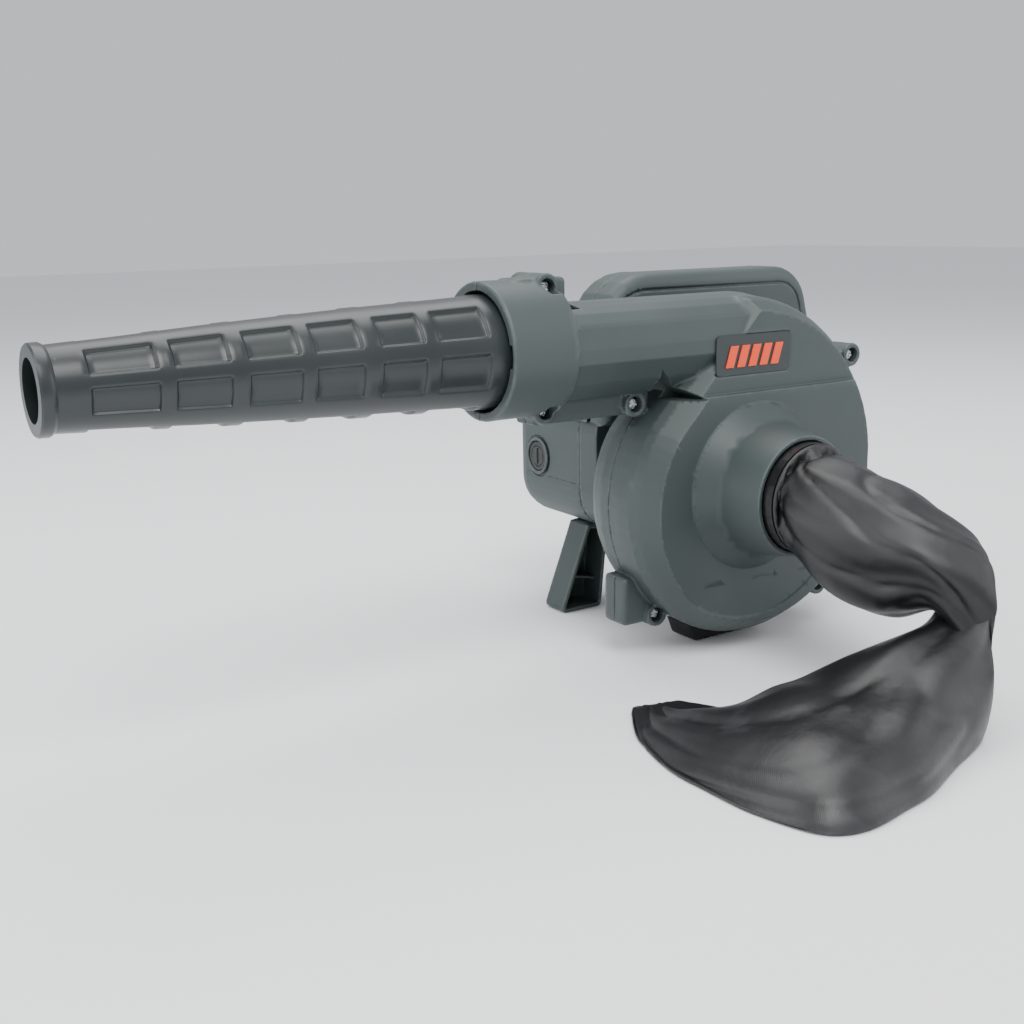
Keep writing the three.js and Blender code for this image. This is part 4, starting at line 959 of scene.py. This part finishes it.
housing = {
    "corners": [(-45, -40, 25), (45, -40, 25), (45, 40, 19), (-45, 40, 19)], "front": 51.0, "wall": 2.5,
    "section": [(-60, 51), (0, 51), (0, 126), (-1.2, 131), (-4.2, 136), (-9, 139.6), (-15, 141),
                (-60, 141)],
    "brush": (112, 0), "side": 45, "pocket": (12, 24, 44), "ring": (12.8, 0.8),
    "rim": (11.6, 1.4, 0.05), "rimBore": 9.3,
    "capWell": (9.3, 2.2), "holder": (6.8, 39.8, 47), "slot": ((12, 42), (107.4, 116.6), 5.6),
    "ventColumns": (-2, -1, 1, 2), "ventPitch": 9, "ventRows": (-20, 20), "vent": (2, 3),
    "ventAlong": (132, 144),
    "seat": (14.5, 122.5, 140), "seatBore": (11.8, 121, 131.3), "leadHole": ((-24, 60), 3.5, 30, 50),
    "handleBore": (2.3, 42, 78), "standBore": (2.3, -42, -28), "standScrews": ((-9, 90), (9, 90)),
    "lipAt": 68,
    "tabs": (((-44, 55, 33), (-32, 65, 54)), ((44, 55, -3), (60, 65, 13))),
}
housingEdge = roundCorners(housing["corners"], 8)


def housingBlock(p):
    x, y, z = p
    return outline(outline(x, z, housingEdge), y, housing["section"])


def sideSpan(side, inner, outer):  # the same stretch on the left or the right side, in rising order
    return sorted((side * inner, side * outer))


def brushSide(p, skin, body, side):  # one brush holder's pocket, ring, cap well and slot
    face, brush = side * housing["side"], housing["brush"]
    radius, inner, outer = housing["pocket"]
    skin = join(skin, both(discAlong(p, "x", brush, radius, *sideSpan(side, inner, outer)), body + 0.8))
    radius, half = housing["ring"]
    skin = cut(skin, discAlong(p, "x", brush, radius, face - half, face + half), blend=0.3)
    radius, back, ahead = housing["rim"]
    rim = cut(discAlong(p, "x", brush, radius, face - back, face + ahead),
              discAlong(p, "x", brush, housing["rimBore"], face - 4, face + 4))
    skin = join(skin, rim, blend=0.3)
    radius, half = housing["capWell"]
    skin = cut(skin, discAlong(p, "x", brush, radius, face - half, face + half), blend=0.2)
    radius, inner, outer = housing["holder"]
    skin = cut(skin, discAlong(p, "x", brush, radius, *sideSpan(side, inner, outer)))
    across, (near, far), half = housing["slot"]
    low, high = sideSpan(side, *across)
    return cut(skin, roundedBox(p, (low, near, -half), (high, far, half)))


def housingShape(p):
    x, y, z = p
    body = housingBlock(p)
    inner = body + housing["wall"]
    facet = both(np.abs(z * 0.94 + np.abs(x) * 0.34 + 31.5) - 0.35,
                 both(np.abs(x) - 44, np.abs(y - 100) - 33))
    skin = cut(body, both(inner, 50 - y))
    skin = cut(skin, both(facet, -(body + 0.45)), blend=0.4)
    skin = cut(skin, both(np.abs(y - housing["lipAt"]) - 0.5, -(body + 0.6)), blend=0.4)
    for side in (-1, 1):
        skin = brushSide(p, skin, body, side)
    (lowTab, highTab), sideTab = housing["tabs"]
    skin = join(skin, both(roundedBox(p, lowTab, highTab), lowTab[2] - z))
    skin = join(skin, roundedBox(p, *sideTab))
    (halfX, halfZ), (near, far) = housing["vent"], housing["ventAlong"]
    for column in housing["ventColumns"]:
        for row in housing["ventRows"]:
            ventX = column * housing["ventPitch"]
            vent = roundedBox(p, (ventX - halfX, near, row - halfZ), (ventX + halfX, far, row + halfZ),
                              fillet=1.6)
            skin = cut(skin, vent, blend=0.4)
    seat = cut(discAlong(p, "y", (0, 0), *housing["seat"]),
               discAlong(p, "y", (0, 0), *housing["seatBore"]))
    skin = join(skin, both(seat, body + 0.4), blend=0.5)
    skin = cut(skin, discAlong(p, "z", *housing["leadHole"]))
    for spot in handle["screws"][:2]:
        skin = cut(skin, discAlong(p, "y", spot, *housing["handleBore"]))
    for spot in housing["standScrews"]:
        skin = cut(skin, discAlong(p, "z", spot, *housing["standBore"]))
    return both(skin, housing["front"] - y, blend=0.3)


stand = {
    "leg": [(-30, -40.4, 1), (-51, -93.9, 3), (-20, -93.9, 3), (-14, -40.4, 1)],
    "near": 80.0, "far": 100.0, "wall": 2.6, "round": 1.6, "openNear": 9, "floor": 2.4,
    "rib": (74, 36, 0.2, 0.9), "ribAlong": (92.5, 5.5), "saddle": ((-26, 80, -43.5), (26, 100, -40.4)),
    "screwBore": (2.3, -46, -38),
}
legEdge = roundCorners(stand["leg"])


def standShape(p):
    x, y, z = p
    flat = outline(-np.abs(x), z, legEdge)
    near, far = stand["near"], stand["far"]
    legs = thicken(flat, y, near, far, stand["round"])
    legs = cut(legs,
               thicken(flat + stand["wall"], y, near - stand["openNear"], far - stand["floor"], 0.6),
               blend=0.4)
    ribLow, ribOut, ribSlope, ribHalf = stand["rib"]
    ribMiddle, ribReach = stand["ribAlong"]
    rib = both(np.abs(z + ribLow - (np.abs(x) - ribOut) * ribSlope) - ribHalf, flat + 0.5)
    rib = both(rib, np.abs(y - ribMiddle) - ribReach)
    bracket = join(join(legs, rib, blend=0.6), roundedBox(p, *stand["saddle"], 0.6), blend=1.2)
    for spot in housing["standScrews"]:
        bracket = cut(bracket, discAlong(p, "z", spot, *stand["screwBore"]))
    return bracket


brushCap = {"outer": 45.55, "inner": 43.2, "radius": 8.9, "plug": (6.4, 40.6),
            "groove": (6.3, 0.35, 0.5), "slot": (0.9, 5)}


def capShape(p, side):
    x, y, z = p
    face, brush = side * brushCap["outer"], housing["brush"]
    plugRadius, plugEnd = brushCap["plug"]
    disc = discAlong(p, "x", brush, brushCap["radius"],
                     *sideSpan(side, brushCap["outer"], brushCap["inner"]), 0.4)
    body = join(disc,
                discAlong(p, "x", brush, plugRadius, *sideSpan(side, plugEnd, brushCap["outer"]), 0.3))
    around = np.sqrt((y - brush[0]) ** 2 + z * z)
    radius, half, deep = brushCap["groove"]
    body = cut(body, both(np.abs(around - radius) - half, np.abs(x - face) - deep), blend=0.2)
    (low, high), (half, long) = sorted((face - side, face + side)), brushCap["slot"]
    slot = roundedBox(p, (low, brush[0] - half, -long), (high, brush[0] + half, long), fillet=0.3)
    return cut(body, slot, blend=0.2)


coarse = 0.75
own(carve("nozzleLugs", nozzleLugs, [collarFront + 10, -33, nozzleLift - 33],
          [collarFront + 20, 33, nozzleLift + 33], 0.4, "nozzle"),
    "nozzle", "nozzle_plastic")
for side, near in (("near", True), ("far", False)):
    node = "handle_" + side + "_half"
    own(carve(side + "Handle", lambda p, near=near: handleShape(p, near), *boundsOf(node), coarse,
              "casing"),
        "casing", "casing_plastic", node)
own(carve("motorHousing", housingShape, *boundsOf("motor_housing"), coarse, "casing"), "casing",
    "casing_plastic", "motor_housing")
own(carve("motorStand", standShape, *boundsOf("motor_stand"), coarse, "casing"), "casing",
    "casing_plastic", "motor_stand")
for side, sign in (("left", -1), ("right", 1)):
    node = "brush_cap_" + side
    own(carve(side + "Cap", lambda p, sign=sign: capShape(p, sign), *boundsOf(node, 1.5), 0.3,
              "black"), "casing", "black_plastic", node)


# one screw, set at each boss by rule
screwHead = {"radius": 3.6, "height": 2.5, "cross": 2.3, "width": 0.95, "depth": 1.5, "shank": 1.9,
             "seed": 7, "turn": 3.1,
             "dome": (5.2, 5.4), "hub": 0.9, "middle": 12, "half": 11, "under": -9.4}


def screwTemplate(p):
    x, y, z = p
    head = screwHead
    domeAt, domeRadius = head["dome"]
    around = np.sqrt(x * x + z * z)
    dome = both(np.sqrt(around ** 2 + (y - domeAt) ** 2) - domeRadius, around - head["radius"], 0.5)
    dome = both(dome, y - head["height"], 0.2)
    taper = 1 - np.clip(y, 0, 2) * 0.3
    slots = join(both(np.abs(x) - head["width"] / 2, np.abs(z) - head["cross"] * taper),
                 both(np.abs(z) - head["width"] / 2, np.abs(x) - head["cross"] * taper))
    slots = join(slots, around - head["hub"], blend=0.3)
    dome = cut(dome, both(slots, y - head["depth"]), 0.15)
    thread = 0.22 * np.abs(((y * 0.8 + np.arctan2(z, x) / (2 * math.pi)) % 1) - 0.5)
    shank = both(around - head["shank"] + thread, np.abs(y - head["middle"]) - head["half"])
    return join(dome, shank, 0.2)


def screwSet(name, spots):
    template = carve(name + "Template", screwTemplate, [-4.5, -0.8, -4.5], [4.5, 24, 4.5], 0.16,
                     "zinc", 0.2)
    for vertex in template.data.vertices:
        vertex.co.z -= axisHeight * mm
    points = bpy.data.meshes.new(name)
    points.from_pydata([(x * mm, y * mm, (z + axisHeight) * mm) for x, y, z in spots], [], [])
    source = bpy.data.objects.new(name, points)
    bpy.context.scene.collection.objects.link(source)
    recipe = Recipe(name + "Recipe", Seed=screwHead["seed"])
    head = recipe.node("GeometryNodeObjectInfo", {"transform_space": "ORIGINAL"}, {"Object": template},
                       output="Geometry")
    spin = recipe.node("FunctionNodeRandomValue", {"data_type": "FLOAT"},
                       {2: 0.0, 3: screwHead["turn"], "Seed": recipe.number("Seed")}, output=1)
    rotation = recipe.node("ShaderNodeCombineXYZ", {}, {1: spin})
    placed = recipe.node("GeometryNodeInstanceOnPoints", {},
                         {"Points": recipe.start, "Instance": head, "Rotation": rotation})
    made = recipe.make(placed, source, "zinc")
    bpy.data.objects.remove(template)
    return made


shellSpots = [(x, screwHead["under"], z) for x, z in shellBosses["at"]]
own(screwSet("shellScrews", shellSpots), "casing", "fastener_steel",
    *["shell_screw_%d" % i for i in range(1, 7)])


# one sewn tube that hangs from the ring, folds, and lies on the floor
bagMouth = edges("bag_ring")[0][1] - 0.3
bag = {
    "rings": 130, "around": 88, "thickness": 0.7, "flat": (0.205, 0.32), "fold": 2.6, "cap": 6.0,
    "frames": 22,
    "stations": [  # centre, half-width, half-thickness
        ((0, bagMouth, 0), (28, 0, 0), (0, 0, 28)),
        ((0.5, bagMouth - 5, -0.5), (29, 0, 0), (0, 0, 29)),
        ((1, bagMouth - 13, -2), (31, 0, 0), (0, 0, 32)),
        ((4, bagMouth - 30, -9), (32, 3, 0), (0, 4, 37)),
        ((9, bagMouth - 50, -14), (29, 8, 0), (0, 8, 36)),
        ((16, bagMouth - 70, -15), (24, 14, 0), (0, 8, 27)),
        ((23, bagMouth - 86, -39), (13, 20, 0), (8, 4, 35)),
        ((15, -164, -58), (8, 24, 0), (6, 0, 37)),
        ((2, -166, -80), (4, 31, 0), (4, 0, 42)),
        ((-28, -160, -86), (6, 45, 0), (2, 0, 38)),
        ((-60, -160, -88), (20, 57, 0), (0, 0, 29)),
        ((-90, -156, -89), (40, 56, 0), (0, 0, 27)),
        ((-106, -124, -91), (37, 25, 0), (0, 0, 18)),
        ((-106, -92, -92), (28, 8, 0), (0, 0, 10)),
        ((-97, -68, -92), (13, -4, 0), (0, 0, 6)),
    ],
}


def alongStations(share):  # a smooth run through the stations
    stations = bag["stations"]
    place = min(share, 0.99999) * (len(stations) - 1)
    index, t = int(place), place - int(place)
    near = [np.array(stations[min(max(index + k, 0), len(stations) - 1)], dtype=float)
            for k in (-1, 0, 1, 2)]
    return 0.5 * (2 * near[1] + (near[2] - near[0]) * t
                  + (2 * near[0] - 5 * near[1] + 4 * near[2] - near[3]) * t ** 2
                  + (3 * near[1] - near[0] - 3 * near[2] + near[3]) * t ** 3)


def foldHeight(along, turn, point):  # long soft folds, none at the mouth
    ease = min(1, max(0, (along - 0.02) / 0.1))
    long = noise.noise(Vector((math.cos(turn) * 2.2, math.sin(turn) * 2.2, along * 3.2)))
    cross = noise.noise(Vector((point[0] * 0.035, point[1] * 0.035, point[2] * 0.05 + 7)))
    crease = 1 - abs(noise.noise(Vector((math.cos(turn) * 1.6 + 4, math.sin(turn) * 1.6,
                                         along * 6)))) * 3.2
    return ease * bag["fold"] * (long + 0.7 * cross - 0.8 * max(0, crease) ** 3)


def bagMesh():
    rings, around = bag["rings"], bag["around"]
    points = []
    for i in range(rings):
        share = i / (rings - 1)
        centre, across, up = alongStations(share)
        for j in range(around):
            turn = 2 * math.pi * j / around
            spoke = across * math.cos(turn) + up * math.sin(turn)
            point = centre + spoke
            point = point + spoke / np.linalg.norm(spoke) * (foldHeight(share, turn, point)
                    - 1.2 * min(1, share * 12))
            point[2] = max(point[2] + axisHeight, 1.2 + 0.8 * noise.noise(Vector(point * 0.06)))
            points.append(point * mm)
    faces = [(i * around + (j + 1) % around, i * around + j, (i + 1) * around + j,
              (i + 1) * around + (j + 1) % around)
             for i in range(rings - 1) for j in range(around)]
    points.append(np.mean(points[-around:], axis=0))
    last = (rings - 1) * around
    faces += [(last + j, len(points) - 1, last + (j + 1) % around) for j in range(around)]
    mesh = bpy.data.meshes.new("dustBag")
    mesh.from_pydata([tuple(p) for p in points], [], faces)
    clothMap = mesh.uv_layers.new(name="cloth")
    for face in mesh.polygons:
        for corner, vertex in zip(face.loop_indices, face.vertices):
            column = vertex % around
            if column == 0 and any(v % around == around - 1 for v in face.vertices):
                column = around
            clothMap.data[corner].uv = (column / around * bag["flat"][0] * 10,
                                        vertex // around / rings * bag["flat"][1] * 10)
    return mesh


bagCloth = {
    "quality": 6, "mass": 0.12, "tension_stiffness": 20, "compression_stiffness": 20,
    "bending_stiffness": 0.4,
    "shrink_min": -0.05, "use_pressure": True, "uniform_pressure_force": 0.6,
}


def settleCloth(piece):  # the cloth grows a little, so that it wrinkles, and sags under its own weight
    before = [vertex.co.copy() for vertex in piece.data.vertices]
    pinned = piece.vertex_groups.new(name="pinned")
    held = bag["around"] * 4
    pinned.add(list(range(held)), 1.0, "REPLACE")
    cloth = piece.modifiers.new("cloth", "CLOTH")
    for setting, value in bagCloth.items():
        setattr(cloth.settings, setting, value)
    cloth.settings.vertex_group_mass = "pinned"
    cloth.settings.effector_weights.gravity = 0.25
    cloth.collision_settings.use_collision = False
    cloth.point_cache.frame_end = bag["frames"]
    for moment in range(1, bag["frames"] + 1):
        bpy.context.scene.frame_set(moment)
    shown = piece.evaluated_get(bpy.context.evaluated_depsgraph_get())
    after = [vertex.co.copy() for vertex in shown.data.vertices]
    piece.modifiers.remove(cloth)
    bpy.context.scene.frame_set(1)
    for vertex, was, now in zip(piece.data.vertices, before, after):
        move = now - was
        if move.length > bag["cap"] * mm:
            move *= bag["cap"] * mm / move.length
        vertex.co = was + move
        vertex.co.z = max(vertex.co.z, 0.0012)
    piece.vertex_groups.clear()


def applied(piece):
    shown = piece.evaluated_get(bpy.context.evaluated_depsgraph_get())
    mesh = bpy.data.meshes.new_from_object(shown)
    piece.modifiers.clear()
    piece.data = mesh


def makeBag():
    piece = putInScene("dustBag", bagMesh(), "nylon")
    settleCloth(piece)
    skin = piece.modifiers.new("skin", "SOLIDIFY")
    skin.thickness = bag["thickness"] * mm
    skin.offset = -1
    smooth = piece.modifiers.new("smooth", "SUBSURF")
    smooth.levels = smooth.render_levels = 1
    applied(piece)
    for vertex in piece.data.vertices:
        vertex.co.z = max(vertex.co.z, 0.0002)
    piece.data.shade_smooth()
    print("bag faces", len(piece.data.polygons))
    return piece


bagPiece = makeBag()
own(bagPiece, "casing", "bag_fabric", "dust_bag")


foot = {
    "corners": [(-18, -93.9, 4), (30, -93.9, 4), (36, -74, 2), (-26, -74, 2)], "near": -6, "far": 14,
    "fillet": 1.2,
    "pitch": 6, "slotHalf": 0.6, "slotDeep": 0.9, "below": 93.9, "spare": 0.3,
}


def footShape(p):
    x, y, z = p
    pad = thicken(outline(x, z, roundCorners(foot["corners"])), y, foot["near"], foot["far"],
                  foot["fillet"])
    treads = both(np.abs(((x + 200) % foot["pitch"]) - foot["pitch"] / 2) - foot["slotHalf"],
                  np.abs(z + foot["below"]) - foot["slotDeep"])
    return cut(cut(pad, treads, 0.2), outline(x, z, scrollShape) - foot["spare"])


own(carve("rubberFoot", footShape, *boundsOf("rubber_foot"), 0.5, "rubber"), "casing", "rubber",
    "rubber_foot")


def makeFloor():
    mesh = bpy.data.meshes.new("floor")
    reach = 6.0  # metres
    mesh.from_pydata([(-reach, -reach, 0), (reach, -reach, 0), (reach, reach, 0), (-reach, reach, 0)],
                     [], [(0, 1, 2, 3)])
    putInScene("floor", mesh, "floor")


makeFloor()


# looks for the CAD nodes that stay
nodeLooks = {
    "impeller": "impeller", "cooling_fan": "black", "switch_body": "black", "speed_control": "black",
    "cord_clamp": "black",
    "motor_lead": "black", "commutator": "copper", "armature_core": "sheet", "stator_core": "sheet",
    "rear_bearing_bush": "rubber", "cord_gland": "rubber", "rubber_foot": "rubber",
}


def lookOf(node):
    if node in nodeLooks:
        return nodeLooks[node]
    for part, look in (("winding", "wire"), ("field_coil", "wire"), ("brush_holder", "brass"),
                       ("carbon", "carbon"),
                       ("cap", "black"), ("screw", "zinc"), ("spring", "steel"), ("bag", "nylon"),
                       ("nozzle", "nozzle"),
                       ("badge", "badgeField"), ("shell", "casing"), ("housing", "casing"),
                       ("handle", "casing"), ("stand", "casing"),
                       ("trigger", "black"), ("button", "black"), ("dial", "black"), ("ring", "black")):
        if part in node:
            return look
    return "steel"


for nodeName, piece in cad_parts.items():
    piece.data.materials.clear()
    piece.data.materials.append(looks[lookOf(nodeName)])
